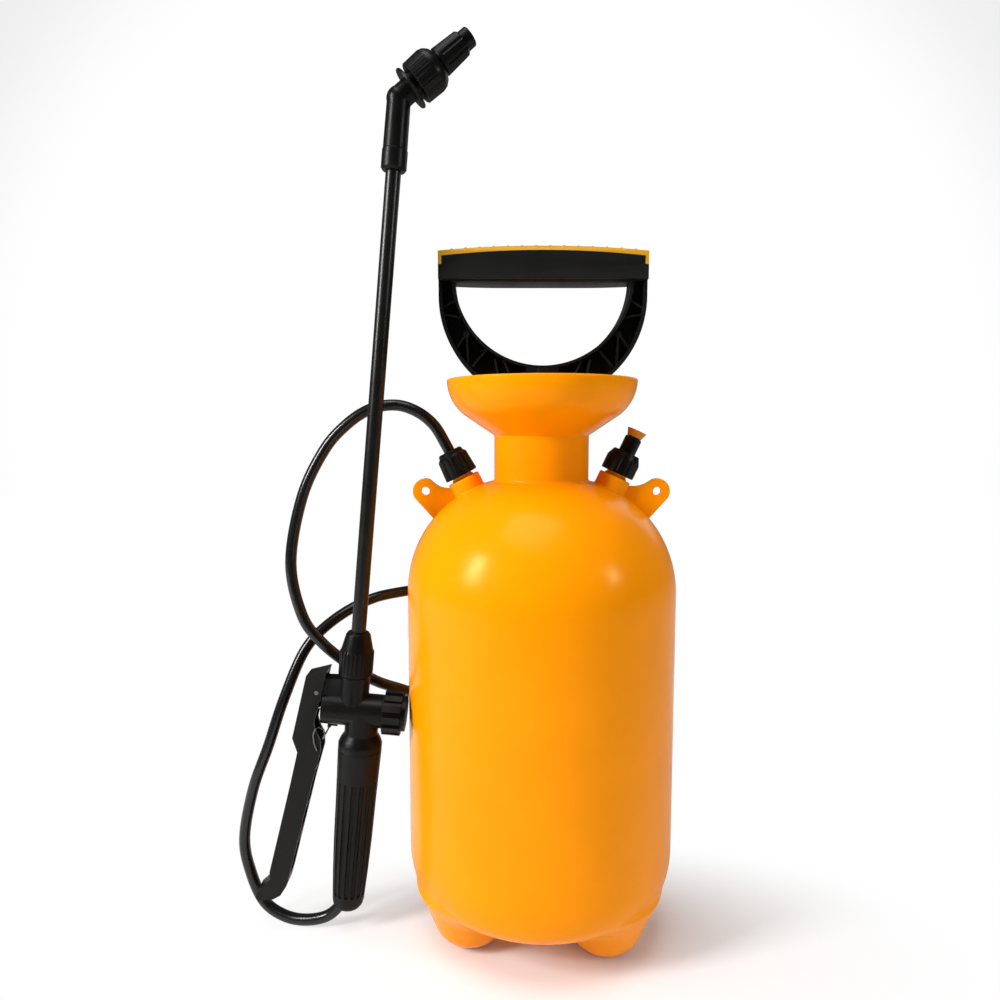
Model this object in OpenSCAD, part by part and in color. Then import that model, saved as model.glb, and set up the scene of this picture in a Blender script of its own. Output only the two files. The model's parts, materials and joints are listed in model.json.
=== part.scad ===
// Hand-carried pump sprayer: tank with pouring bowl, lift-out pump with a D handle,
// relief valve, hose, trigger gun, lance and angled cone nozzle.
// Millimetres, +Z up. The origin is on the floor, midway between the trigger's toe and the tank's
// far side; the front faces -Y.

/* [Tank] */
// Outside diameter of the body
tank_d = 190; // [184:1:200]
// Height above the floor at which the shoulder begins to round in
body_top = 245; // [235:1:252]
// Radius of the round shoulder
shoulder_r = 80; // [76:1:84]
// Wall thickness of the body
wall = 3; // [2:0.1:4]
// Height of the body's underside above the floor
base_z = 29; // [24:1:32]
// Radius of the long curve at the foot of the body
flank_r = 60; // [50:1:70]
// Angle that the long curve turns through
flank_angle = 15; // [8:1:20]
// Radius of the tight curve under it
heel_r = 22; // [16:1:26]

/* [Feet] */
// Radius of the circle that the four feet stand on
foot_circle = 58.3; // [57:0.1:59.5]
// Angle from the front or the back to the feet on either side of it
foot_spread = 53.5; // [50:0.5:57]
// Turn of all four feet about the tank's axis
foot_turn = -5.4; // [-9:0.1:0]
// Radius of the flat patch under a foot
foot_flat_r = 5; // [4:0.5:6]
// Radius of the round edge of that patch
foot_round = 22; // [19:1:23]
// Angle at which a foot widens upwards
foot_flare = 22; // [18:1:23]

/* [Neck and bowl] */
// Outside diameter of the neck
neck_d = 66.6; // [64:0.2:70]
// Wall thickness of the neck
neck_wall = 3.3; // [2.5:0.1:4]
// Diameter of the pouring bowl at its rim
bowl_d = 133; // [128:1:140]
// Height of the rim
rim_z = 393.5; // [386:0.5:400]
// Radius of the bowl's round side
bowl_r = 31; // [28:1:33]
// Slope of the bowl's floor
bowl_slope = 30; // [24:1:34]
// Wall thickness of the bowl
bowl_wall = 2.6; // [2:0.1:3.2]

/* [Ports] */
// Tilt of the hose port away from the vertical
hose_port_tilt = 27; // [24:1:30]
// Tilt of the relief valve's port away from the vertical
relief_port_tilt = 25; // [22:1:30]
// Diameter of a port's boss
boss_d = 23.2; // [20:0.2:25]
// Height of a boss above the shoulder
boss_h = 9; // [6:0.5:11]
// Diameter of the threaded spigot on a boss
spigot_d = 15.5; // [14:0.1:16.5]
// Height of that spigot
spigot_h = 14; // [11:0.5:16]
// Bore of a port
port_bore_d = 10; // [9:0.1:11]
// Thickness of a port's sealing washer
port_seal_t = 1; // [0.8:0.1:1.5]

/* [Strap lugs] */
// Distance of a lug's hole outside the shoulder
lug_stand = 17.25; // [14:0.25:19]
// Angle of a lug's hole up round the shoulder
lug_angle = 46.3; // [44:0.1:48]
// Radius of a lug's round end
lug_r = 9; // [7:0.5:10]
// Diameter of a lug's hole
lug_hole_d = 6; // [4:0.5:8]
// Thickness of a lug
lug_t = 5; // [3:0.5:7]

/* [Pump] */
// Outside diameter of the pump barrel
barrel_d = 42; // [38:0.5:46]
// Wall thickness of the barrel
barrel_wall = 2; // [1.5:0.1:2.5]
// Diameter of the pump rod
rod_d = 10; // [9:0.2:12]
// Working stroke of the pump, which sets the lengths of the barrel and the rod
pump_stroke = 175; // [120:1:200]
// Diameter of the pump head's flange
head_d = 75; // [72:0.5:76]
// Thickness of that flange
head_t = 4; // [4:0.5:6]

/* [Handle] */
// Outside radius of the D
handle_r = 71.2; // [69:0.2:75]
// Radius of the opening for the hand
opening_r = 60.4; // [56:0.2:61]
// Height of the opening's centre above the D's centre
opening_rise = 14; // [10:0.5:15]
// Depth of the D, front to back
frame_depth = 20; // [16:1:26]
// Thickness of the D's outer flange
outer_flange_t = 2.5; // [2:0.1:3.5]
// Thickness of the D's inner flange
inner_flange_t = 2; // [1.5:0.1:3]
// Thickness of the web between them
web_t = 3; // [2:0.5:4]
// Depth of the hand bar, front to back
bar_depth = 28; // [24:1:32]
// Height of the hand bar's front face in the middle
bar_h = 18.7; // [15:0.1:20]
// Radius of the bar's arched top
bar_crown_r = 650; // [550:10:900]
// Thickness of the grip cap
cap_t = 3.5; // [2.8:0.1:4]
// Number of ridges across the cap
cap_ridges = 14; // [8:1:18]

/* [Gun] */
// Lean of the gun and lance
gun_lean = 5.45; // [4.8:0.05:5.7]
// Tip of the gun and lance towards the front
gun_tip = 1.3; // [1.1:0.1:1.6]
// Distance of the gun behind the tank's front, measured from the tank's axis
gun_y = -19; // [-22:0.5:-17]
// Height of the valve's axis above the grip's top
valve_rise = 29; // [27:0.5:31]
// Diameter of the valve barrel
valve_d = 23; // [21:0.5:24]
// Diameter of the valve chamber
chamber_d = 14; // [12:0.5:15]
// Length of the grip
grip_len = 119; // [116:0.5:121]
// Diameter of the grip at its top
grip_top_d = 30.5; // [28:0.5:31]
// Number of flutes round the grip
grip_flutes = 16; // [8:1:18]
// Width of the trigger
trigger_w = 15; // [14:0.5:18]
// Diameter of the trigger's pin
pin_d = 3; // [2.5:0.1:3.5]

/* [Lance and nozzle] */
// Outside diameter of the lance tube
lance_d = 10; // [9:0.2:10.6]
// Bore of the lance tube
lance_bore_d = 6; // [4:0.2:7]
// Height of the elbow's bend above the grip's end
bend_z = 554.8; // [536:0.2:574]
// Diameter of the elbow
elbow_d = 15.2; // [14.4:0.2:16]
// Angle of the nozzle to the lance
nozzle_angle = 45; // [35:1:50]
// Diameter of the nozzle nut
nozzle_nut_d = 28; // [27:0.2:30]
// Diameter of the nozzle tip at its root
tip_d = 18.6; // [17:0.2:20]

/* [Hose] */
// Outside diameter of the hose
hose_d = 8; // [7.6:0.1:8.2]

/* [Hidden] */
$fn = 72;

// Clearance of a piece in the bore that holds it
fit = 0.1;
// Gap between two pieces that move past each other
run_gap = 0.3;
yellow = [1.0, 0.62, 0.02];
cap_yellow = [0.95, 0.68, 0.08];
black = [0.06, 0.06, 0.065];
rubber = [0.12, 0.12, 0.12];
natural = [0.88, 0.88, 0.84];
steel = [0.72, 0.73, 0.75];

tank_r = tank_d / 2;
shoulder_centre = [tank_r - shoulder_r, body_top];
flank_z = base_z + heel_r + (flank_r - heel_r) * sin(flank_angle);
flank_centre = [tank_r - flank_r, flank_z];
foot_shoulder_z = flank_z - 20.8;
foot_top = flank_z - 2.8;
foot_draw_in = 16;
neck_r = neck_d / 2;
neck_bore_r = neck_r - neck_wall;
bowl_rim_r = bowl_d / 2;
bowl_centre = [bowl_rim_r - bowl_r, rim_z];
spigot_r = spigot_d / 2;
port_bore_r = port_bore_d / 2;
boss_top = shoulder_r + boss_h;
spigot_top = boss_top + spigot_h;
lug_centre = polar(shoulder_centre, shoulder_r + lug_stand, lug_angle);
tail_flange_t = 2;
nut_gap = 2.5;
nut_foot = boss_top + nut_gap;
nut_depth = spigot_top + port_seal_t + tail_flange_t - nut_foot;
nut_bore_r = spigot_r + 0.45;
hose_start = nut_foot + nut_depth;
hose_r = hose_d / 2;
tail_r = port_bore_r - 2 * fit;

// Dip tube
dip_r = 3.4;
dip_socket = 14;
tail_end = shoulder_r - 14;
dip_bend_r = 50;

// Relief valve
relief_chamber_r = 3.6;
relief_floor = spigot_top - 15;
relief_roof = spigot_top + 13;
relief_stem_top = relief_roof + 3.3;
relief_stem_r = 6;
relief_pin_r = 1.6;
relief_seal_t = 1.5;
relief_foot_t = 2;
relief_knob_h = 5;
knob_socket = 3.5;

// Pump
seat_r = head_d / 2 + 1;
seat_z = bowl_line(seat_r, bowl_wall);
pump_seal_t = 1.5;
head_z = seat_z + pump_seal_t;
head_top = head_z + head_t;
barrel_r = barrel_d / 2;
bore_r = barrel_r - barrel_wall;
barrel_flange_r = barrel_r + 3;
barrel_flange_t = 2;
guide_t = 3;
head_skirt = 20;
guide_top = head_top + guide_t;
guide_depth = 11;
guide_web_t = 4;
guide_web = head_top - guide_depth;
guide_foot = guide_web - guide_web_t;
lock_r = 8;
rod_r = rod_d / 2;
piston_h = 12;
rod_shoulder = guide_foot - 1 - pump_stroke;
piston_z = rod_shoulder - piston_h;
rod_spigot_r = 3;
rod_nut_h = 4;
barrel_floor = piston_z - rod_nut_h - 4;
barrel_z = barrel_floor - 4;
check_flap_r = 12.5;
handle_bottom = guide_top + 7;
handle_z = handle_bottom + handle_r;
opening_z = handle_z + opening_rise;
opening_foot = opening_z - opening_r;
hub_r = 11;
hub_foot = guide_top + 2;
sleeve_top = hub_foot + 12;
rod_top = opening_foot - 9;
screw_seat = rod_top + 3;
bar_foot = opening_z - 2.7;
bar_top = bar_foot + bar_h;
bar_crown_z = bar_top - bar_crown_r;
bar_end_x = handle_r - 2.4;
belly_h = 3.5;
belly_bow_r = 820;
skirt_rise = 9.5;
cap_skirt_z = bar_foot + skirt_rise;

// Gun, in its own frame: x towards the tank, z along the grip
valve_z = grip_len + valve_rise;
cap_len = 13.5;
cap_disc_t = 3;
cap_disc_r = 12.2;
cap_edge = 0.7 * cap_disc_r;
cap_y = gun_y - valve_z * sin(gun_tip);
chamber_end = 14;
cap_face = chamber_end + cap_len + cap_disc_t;
gun_reach = sqrt(pow(tank_r, 2) - pow(cap_y + cap_edge, 2));
gun_z = 16;
gun_x = -gun_reach - run_gap - cap_face * cos(gun_lean) - (valve_z + cap_edge) * sin(gun_lean);
gun_k = valve_z / 148;
valve_r = valve_d / 2;
chamber_r = chamber_d / 2;
valve_end = -27.4;
seat_x = -19;
seat_t = 3;
lance_x = -7;
lance_r = lance_d / 2;
throat_r = 10.4;
throat_top = valve_z + 24.5;
spout_r = 8.4;
spout_top = throat_top + 17;
lance_foot = valve_z + 18;
collar_top = grip_len + 14;
grip_top_r = grip_top_d / 2;
collar_neck_r = 11.65;
grip_bore_r = 9.5;
tail_seat = 24;
filter_z = 100;
pivot = gun_k * [-31.8, 159.8];
pin_r = pin_d / 2;
cheek = 2.2;
lug_half = trigger_w / 2 - cheek - run_gap;
latch_pivot = gun_k * [-28.4, 119];
trigger_toe = gun_k * [-64.4, 4.2];
wire_r = 0.6;
stem_r = 2.6;
stem_tip = -32.6;
pad_r = 2.6;
nut_top = spout_top + 14.1;

// Lance top
elbow_r = elbow_d / 2;
elbow_len = 44.5;
elbow_foot = bend_z - elbow_len;
elbow_socket = 20;
core_face = 24;
nozzle_nut_r = nozzle_nut_d / 2;
tip_r = tip_d / 2;
shield_z = 9;
shield_r = 14;
nozzle_nut_z = 14;
nozzle_nut_h = 19.5;
tip_z = nozzle_nut_z + nozzle_nut_h + run_gap;
tip_h = 19.2;
tip_end = tip_z + tip_h + 6.4;
core_r = 5;
core_top = tip_z + 14;

// The tank's axis lies this far from the origin
tank_x = (-gun_point(trigger_toe[0], trigger_toe[1])[0] - tank_r) / 2;

// Route of the hose: points on its centre line, from the tank's port to the gun's grip, from the
// tank's axis
hose_points = [
  [-76, 0, 362], [-88, 0, 371.5], [-103, 0, 376], [-121, 0, 373], [-138, 0, 362],
  [-154, 0, 344], [-170, -1, 311], [-179, -2, 264], [-172, -2, 226], [-159, -1, 206],
  [-141, 2, 189], [-122, 8, 174], [-105, 26, 161], [-88, 54, 144], [-58, 88, 112],
  [-14, 109, 56], [12, 112, 23], [42, 112, 5], [74, 112, 14], [94, 109, 44],
  [96, 107, 88], [82, 106, 128], [52, 103, 170], [12, 100, 203], [-30, 95, 223],
  [-62, 79, 231], [-108, 46, 232], [-132, 32, 228], [-156, 20, 215], [-174, 12, 196],
  [-188, 3, 162], [-199, -2, 128], [-210, -5, 97], [-217, -6.5, 60], [-213, -6.5, 33],
  [-203, -8.5, 12], [-186, -14, 4.3], [-168, -18, 4.3], [-152, -19, 9.5]
];

// ---------------------------------------------------------------- helpers

function polar(c, r, a) = [c[0] + r * cos(a), c[1] + r * sin(a)];
function unit(v) = v / norm(v);

// Height of the bowl's sloping floor at a radius, for a wall moved inwards by inset
function bowl_line(x, inset) =
  let (p = polar(bowl_centre, bowl_r - inset, bowl_slope - 90))
  p[1] - (p[0] - x) * tan(bowl_slope);

// A smooth curve through points, with n steps between each two
function curve_point(p, i, t) =
  let (last = len(p) - 1, b = p[i], c = p[i + 1])
  let (a = i > 0 ? p[i - 1] : 2 * b - c, d = i + 1 < last ? p[i + 2] : 2 * c - b)
  0.5 * (2 * b + (c - a) * t + (2 * a - 5 * b + 4 * c - d) * t * t + (3 * b - a - 3 * c + d) * t * t * t);
function smooth_path(p, n) = concat(
  [for (i = [0:len(p) - 2]) for (k = [0:n - 1]) curve_point(p, i, k / n)],
  [p[len(p) - 1]]
);

// A round tube of flat-sided rings along a path; ref is a direction that the path never takes
function path_dir(p, i) = unit(p[min(i + 1, len(p) - 1)] - p[max(i - 1, 0)]);
function path_ring(p, i, r, sides, ref) =
  let (t = path_dir(p, i), a = unit(cross(ref, t)), b = cross(t, a))
  [for (k = [0:sides - 1]) p[i] + r * (cos(360 * k / sides) * a + sin(360 * k / sides) * b)];
module sweep(p, r, sides, ref) {
  last = len(p) - 1;
  skin = [
    for (i = [0:last - 1]) for (k = [0:sides - 1])
    let (a = i * sides + k, b = i * sides + (k + 1) % sides)
    each [[a, a + sides, b + sides], [a, b + sides, b]]
  ];
  ends = [[for (k = [0:sides - 1]) k], [for (k = [sides - 1:-1:0]) last * sides + k]];
  polyhedron(
    points = [for (i = [0:last]) each path_ring(p, i, r, sides, ref)],
    faces = concat(skin, ends)
  );
}
function coil_points(r, z0, z1, turns) = [
  for (k = [0:turns * 8]) [r * cos(45 * k), r * sin(45 * k), z0 + (z1 - z0) * k / (turns * 8)]
];
function nearest_pass(p) = min([
  for (i = [0:len(p) - 9]) for (j = [i + 6:min(i + 10, len(p) - 1)]) norm(p[j] - p[i])
]);

module pie(c, r, a0, a1) {
  translate(c) intersection() {
    circle(r);
    polygon([[0, 0], polar([0, 0], 2 * r, a0), polar([0, 0], 2 * r, (a0 + a1) / 2), polar([0, 0], 2 * r, a1)]);
  }
}
// A cylinder from z0 to z1, and a cone between two radii
module rod(r, z0, z1) {
  translate([0, 0, z0]) cylinder(r = r, h = z1 - z0);
}
module ring(r_out, r_in, z0, z1) {
  difference() {
    rod(r_out, z0, z1);
    rod(r_in, z0 - 1, z1 + 1);
  }
}
module turned(outline) {
  rotate_extrude() polygon(outline);
}
// Grooves along a turned piece, each with its own lean to follow a cone
module grooves(count, r0, r1, z0, z1, groove_r) {
  lean = atan2(r1 - r0, z1 - z0);
  for (k = [0:count - 1])
    rotate([0, 0, 360 * k / count])
    translate([r0, 0, z0])
    rotate([0, lean, 0])
    cylinder(r = groove_r, h = (z1 - z0) / cos(lean), $fn = 24);
}
module upright(depth) {
  rotate([90, 0, 0]) linear_extrude(height = depth, center = true) children();
}
// Frames: the tank's axis, a port seen from that axis, and the two ports in their places
module tank_frame() {
  translate([tank_x, 0, 0]) children();
}
module port_frame(side, tilt) {
  translate([side * shoulder_centre[0], 0, shoulder_centre[1]]) rotate([0, side * tilt, 0]) children();
}
module hose_port() {
  tank_frame() port_frame(-1, hose_port_tilt) children();
}
module relief_port() {
  tank_frame() port_frame(1, relief_port_tilt) children();
}
function hose_port_point(s) = [
  -shoulder_centre[0] - s * sin(hose_port_tilt), 0, shoulder_centre[1] + s * cos(hose_port_tilt)
];
// Point at a distance along a port's axis and at another across it, in the plane of the ports
function port_side(tilt, s, across) = shoulder_centre + [
  s * sin(tilt) + across * cos(tilt), s * cos(tilt) - across * sin(tilt)
];
module gun_frame() {
  tank_frame() translate([gun_x, gun_y, gun_z]) rotate([gun_tip, gun_lean, 0]) children();
}
function gun_point(x, z) = [
  gun_x + x * cos(gun_lean) + z * cos(gun_tip) * sin(gun_lean),
  gun_y - z * sin(gun_tip),
  gun_z - x * sin(gun_lean) + z * cos(gun_tip) * cos(gun_lean)
];
module valve_frame() {
  gun_frame() translate([0, 0, valve_z]) rotate([0, 90, 0]) children();
}
module lance_frame() {
  gun_frame() translate([lance_x, 0, 0]) children();
}
module nozzle_frame() {
  lance_frame() translate([0, 0, bend_z]) rotate([0, nozzle_angle, 0]) children();
}

// ---------------------------------------------------------------- tank

module body_outline(inset) {
  flank = flank_r - inset;
  heel = heel_r - inset;
  heel_centre = polar(flank_centre, flank_r - heel_r, -flank_angle);
  pie(shoulder_centre, shoulder_r - inset, 0, 90);
  pie(flank_centre, flank, -flank_angle, 0);
  pie(heel_centre, heel, -90, -flank_angle);
  polygon([
    [0, body_top + shoulder_r - inset],
    polar(shoulder_centre, shoulder_r - inset, 90),
    polar(shoulder_centre, shoulder_r - inset, 0),
    polar(flank_centre, flank, 0),
    polar(flank_centre, flank, -flank_angle),
    polar(heel_centre, heel, -90),
    [0, base_z + inset]
  ]);
}
module foot_outline(inset) {
  edge = foot_round - inset;
  c = [foot_flat_r, foot_round];
  low = polar(c, edge, -foot_flare);
  widest = low[0] + (foot_shoulder_z - low[1]) * tan(foot_flare);
  pie(c, edge, -90, -foot_flare);
  polygon([
    [0, inset],
    [foot_flat_r, inset],
    low,
    [widest, foot_shoulder_z],
    [widest - foot_draw_in, foot_top],
    [0, foot_top]
  ]);
}
module feet(inset) {
  for (front = [-90, 90])
    for (side = [-1, 1])
      rotate([0, 0, front + side * foot_spread + foot_turn])
      translate([foot_circle, 0, 0])
      rotate_extrude() foot_outline(inset);
}
module bowl_outline(inset, floor_r) {
  side = bowl_r - inset;
  pie(bowl_centre, side, bowl_slope - 90, 0);
  polygon([
    [0, rim_z],
    polar(bowl_centre, side, 0),
    polar(bowl_centre, side, bowl_slope - 90),
    [floor_r, bowl_line(floor_r, inset)],
    [0, bowl_line(floor_r, inset)]
  ]);
}
module lug(tilt) {
  edge_angle = 48;
  edge_len = 24;
  tip = polar(lug_centre, lug_r, edge_angle - 90);
  upright(lug_t)
  difference() {
    union() {
      translate(lug_centre) circle(lug_r);
      polygon([
        port_side(tilt, boss_top - 1.5, boss_d / 2 - 0.5),
        polar(lug_centre, lug_r, 112),
        lug_centre,
        tip,
        polar(tip, edge_len, edge_angle + 180),
        port_side(tilt, shoulder_r - 8, 0)
      ]);
    }
    translate(lug_centre) circle(lug_hole_d / 2);
  }
}
module boss() {
  rod(boss_d / 2, shoulder_r - 12, boss_top - 0.8);
  translate([0, 0, boss_top - 0.8]) cylinder(r1 = boss_d / 2, r2 = boss_d / 2 - 0.8, h = 0.8);
  rod(spigot_r, shoulder_r - 12, spigot_top);
}
module tank() {
  chamfer = 0.6;
  color(yellow)
  tank_frame()
  difference() {
    union() {
      rotate_extrude() body_outline(0);
      feet(0);
      rod(neck_r, body_top + shoulder_r / 2, bowl_line(neck_r, 0) + 0.5);
      rotate_extrude() bowl_outline(0, neck_r);
      port_frame(-1, hose_port_tilt) boss();
      port_frame(1, relief_port_tilt) boss();
      lug(relief_port_tilt);
      mirror([1, 0, 0]) lug(hose_port_tilt);
    }
    rotate_extrude() body_outline(wall);
    feet(wall);
    rod(neck_bore_r, body_top, rim_z);
    rotate_extrude() bowl_outline(bowl_wall, seat_r);
    port_frame(-1, hose_port_tilt) rod(port_bore_r, shoulder_r - 20, spigot_top + 1);
    port_frame(1, relief_port_tilt) rod(port_bore_r, shoulder_r - 20, spigot_top + 1);
    turned([
      [bowl_rim_r - chamfer, rim_z + 0.1],
      [bowl_rim_r + 1, rim_z + 0.1],
      [bowl_rim_r + 1, rim_z - 1 - chamfer]
    ]);
  }
}

// ---------------------------------------------------------------- hose port

module port_nut_bore() {
  rod(nut_bore_r, -1, nut_depth);
}
module hose_nut() {
  color(black)
  hose_port() translate([0, 0, nut_foot])
  difference() {
    turned([
      [0, 0], [11.4, 0], [11.9, 0.6], [10.9, nut_depth], [9.2, nut_depth + 1.8],
      [8.8, nut_depth + 3.6], [7.8, nut_depth + 4.6], [0, nut_depth + 4.6]
    ]);
    grooves(14, 12.6, 11.6, 1.5, nut_depth + 0.6, 1.3);
    port_nut_bore();
    rod(hose_r + run_gap, 0, 30);
  }
}
module hose_tail() {
  color(black)
  hose_port()
  difference() {
    union() {
      rod(spigot_r, spigot_top + port_seal_t, hose_start);
      rod(tail_r, tail_end, hose_start);
    }
    rod(2, tail_end - 1, hose_start + 1);
    rod(dip_r + fit / 2, tail_end - 1, tail_end + dip_socket);
  }
}
module hose_seal() {
  color(rubber)
  hose_port() ring(spigot_r - 0.3, port_bore_r + 0.2, spigot_top, spigot_top + port_seal_t);
}
module dip_tube() {
  bend_r = dip_r + 0.3;
  bend_bore_r = dip_r - 1.2;
  turn_start = hose_port_point(tail_end - 6);
  centre = turn_start - dip_bend_r * [cos(hose_port_tilt), 0, sin(hose_port_tilt)];
  foot = base_z + wall + 6;
  color(natural)
  tank_frame()
  difference() {
    union() {
      port_frame(-1, hose_port_tilt) rod(dip_r, tail_end - 8, tail_end + dip_socket);
      translate(centre) rotate([90, 0, 0])
        rotate_extrude(angle = hose_port_tilt) translate([dip_bend_r, 0]) circle(bend_r);
      translate([centre[0] + dip_bend_r, 0, 0]) rod(dip_r, foot, centre[2] + 2);
    }
    port_frame(-1, hose_port_tilt) rod(dip_r - 1, tail_end - 6, tail_end + dip_socket + 1);
    translate(centre) rotate([90, 0, 0]) rotate([0, 0, -2])
      rotate_extrude(angle = hose_port_tilt + 4) translate([dip_bend_r, 0]) circle(bend_bore_r);
    translate([centre[0] + dip_bend_r, 0, 0]) rod(dip_r - 1, foot - 1, centre[2]);
  }
}
module pickup_filter() {
  tube_x = hose_port_point(tail_end - 6)[0] + dip_bend_r * (1 - cos(hose_port_tilt));
  foot = base_z + wall + 1;
  color(natural)
  translate([tank_x + tube_x, 0, 0])
  difference() {
    rod(6.5, foot, foot + 18);
    rod(dip_r + fit / 2, foot + 5, foot + 19);
    rod(4.6, foot + 1.5, foot + 5.5);
    for (k = [0:5])
      rotate([0, 0, 60 * k]) translate([4, 0, foot + 3.5]) cube([8, 1.6, 3], center = true);
  }
}

// ---------------------------------------------------------------- relief valve

module relief_nut() {
  color(black)
  relief_port() translate([0, 0, nut_foot])
  difference() {
    turned([
      [0, 0], [11.4, 0], [12, 0.6], [12, 10.5], [9.4, nut_depth + 1.6], [0, nut_depth + 1.6]
    ]);
    grooves(10, 13.6, 13.6, 1.5, nut_depth, 2.2);
    port_nut_bore();
    rod(relief_stem_r + fit, 0, 30);
  }
}
module relief_stem() {
  color(black)
  relief_port()
  difference() {
    union() {
      rod(tail_r, relief_floor - 4, hose_start);
      rod(spigot_r, spigot_top + port_seal_t, hose_start);
      rod(relief_stem_r, hose_start, relief_stem_top - 0.8);
      translate([0, 0, relief_stem_top - 0.8])
        cylinder(r1 = relief_stem_r, r2 = relief_stem_r - 0.8, h = 0.8);
    }
    rod(relief_chamber_r, relief_floor, relief_roof);
    rod(1.7, relief_floor - 5, relief_floor + 1);
    rod(relief_pin_r + fit, relief_roof - 1, relief_stem_top + 1);
  }
}
module relief_washer() {
  color(rubber)
  relief_port() ring(spigot_r - 0.3, port_bore_r + 0.2, spigot_top, spigot_top + port_seal_t);
}
module relief_seal() {
  color(rubber)
  relief_port() rod(relief_chamber_r - 0.4, relief_floor, relief_floor + relief_seal_t);
}
relief_spring_foot = relief_floor + relief_seal_t + relief_foot_t;
relief_spring_r = 2.6;
relief_wire_r = 0.4;
relief_coil = coil_points(
  relief_spring_r, relief_spring_foot + relief_wire_r + 0.1, relief_roof - relief_wire_r - 0.1, 9
);
module relief_spring() {
  color(steel)
  relief_port() sweep(relief_coil, relief_wire_r, 6, [0, 0, 1]);
}
module relief_pin() {
  color(natural)
  relief_port() {
    rod(relief_pin_r, relief_floor + relief_seal_t, relief_stem_top + run_gap + knob_socket);
    rod(relief_chamber_r - 0.3, relief_floor + relief_seal_t, relief_spring_foot);
  }
}
module relief_knob() {
  foot = relief_stem_top + run_gap;
  color(cap_yellow)
  relief_port()
  difference() {
    turned([
      [0, foot], [5.4, foot], [5.5, foot + 1], [7.0, foot + relief_knob_h - 0.4],
      [7.0, foot + relief_knob_h], [0, foot + relief_knob_h]
    ]);
    rod(relief_pin_r + fit / 2, foot - 1, foot + knob_socket);
  }
}

// ---------------------------------------------------------------- pump

module pump_seal() {
  color(rubber)
  tank_frame()
  ring(head_d / 2 - 2, neck_bore_r + 0.4, seat_z, head_z);
}
module pump_head() {
  color(black)
  tank_frame()
  difference() {
    union() {
      rod(neck_bore_r - run_gap, head_z - head_skirt, head_z);
      rod(head_d / 2 - 1, head_z, head_top);
      grooves(24, head_d / 2 - 1.2, head_d / 2 - 1.2, head_z, head_top, 1.2);
    }
    rod(barrel_r + fit, head_z - head_skirt - 1, head_top + 1);
    rod(barrel_flange_r + fit, head_top - barrel_flange_t, head_top + 1);
  }
}
module pump_barrel() {
  color(natural)
  tank_frame()
  difference() {
    union() {
      rod(barrel_r, barrel_z, head_top);
      rod(barrel_flange_r, head_top - barrel_flange_t, head_top);
    }
    rod(bore_r, barrel_floor, head_top + 1);
    rod(2.1, barrel_z - 1, barrel_floor + 1);
    for (k = [0:5]) rotate([0, 0, 60 * k]) translate([8, 0, 0]) rod(1.8, barrel_z - 1, barrel_floor + 1);
  }
}
module check_valve() {
  color(rubber)
  tank_frame() {
    rod(2, barrel_z - 1, barrel_floor + 0.4);
    rod(2.8, barrel_floor, barrel_floor + 1.6);
    turned([
      [0, barrel_z - 2.4], [5, barrel_z - 2.2], [check_flap_r, barrel_z - 0.9], [check_flap_r, barrel_z],
      [0, barrel_z]
    ]);
  }
}
module rod_guide() {
  color(black)
  tank_frame()
  difference() {
    union() {
      rod(barrel_flange_r + 3, head_top, guide_top);
      rod(bore_r - fit, guide_foot, head_top);
    }
    rod(13, guide_web, head_top);
    rod(rod_r + fit, guide_foot - 1, guide_web + 1);
    rod(lock_r + run_gap, head_top - 1, guide_top + 1);
    translate([0, 0, head_top + guide_t / 2]) cube([24.4, 7.2, guide_t + 2], center = true);
  }
}
module pump_rod() {
  color(natural)
  tank_frame()
  difference() {
    union() {
      rod(rod_r, rod_shoulder, rod_top);
      rod(rod_spigot_r, piston_z - rod_nut_h, rod_shoulder);
    }
    rod(2.05, rod_top - 15, rod_top + 1);
  }
}
module piston() {
  color(black)
  tank_frame()
  difference() {
    rod(bore_r - 0.4, piston_z, rod_shoulder);
    ring(bore_r + 1, bore_r - 3, piston_z + 4, piston_z + 8);
    rod(rod_spigot_r + fit / 2, piston_z - 1, rod_shoulder + 1);
  }
}
module piston_seal() {
  color(rubber)
  tank_frame()
  ring(bore_r - 0.08, bore_r - 3 + fit / 2, piston_z + 4 + fit / 2, piston_z + 8 - fit / 2);
}
module rod_nut() {
  color(steel)
  tank_frame()
  translate([0, 0, piston_z - rod_nut_h])
  difference() {
    cylinder(r = 6, h = rod_nut_h, $fn = 6);
    translate([0, 0, -1]) cylinder(r = rod_spigot_r + fit / 2, h = rod_nut_h + 2);
  }
}
module handle_screw() {
  color(steel)
  tank_frame()
  difference() {
    union() {
      rod(2, rod_top - 14, screw_seat);
      rod(4.1, screw_seat, screw_seat + 2.6);
    }
    translate([0, 0, screw_seat + 2]) cube([5, 1, 1.4], center = true);
    translate([0, 0, screw_seat + 2]) cube([1, 5, 1.4], center = true);
  }
}

// ---------------------------------------------------------------- handle

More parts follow.
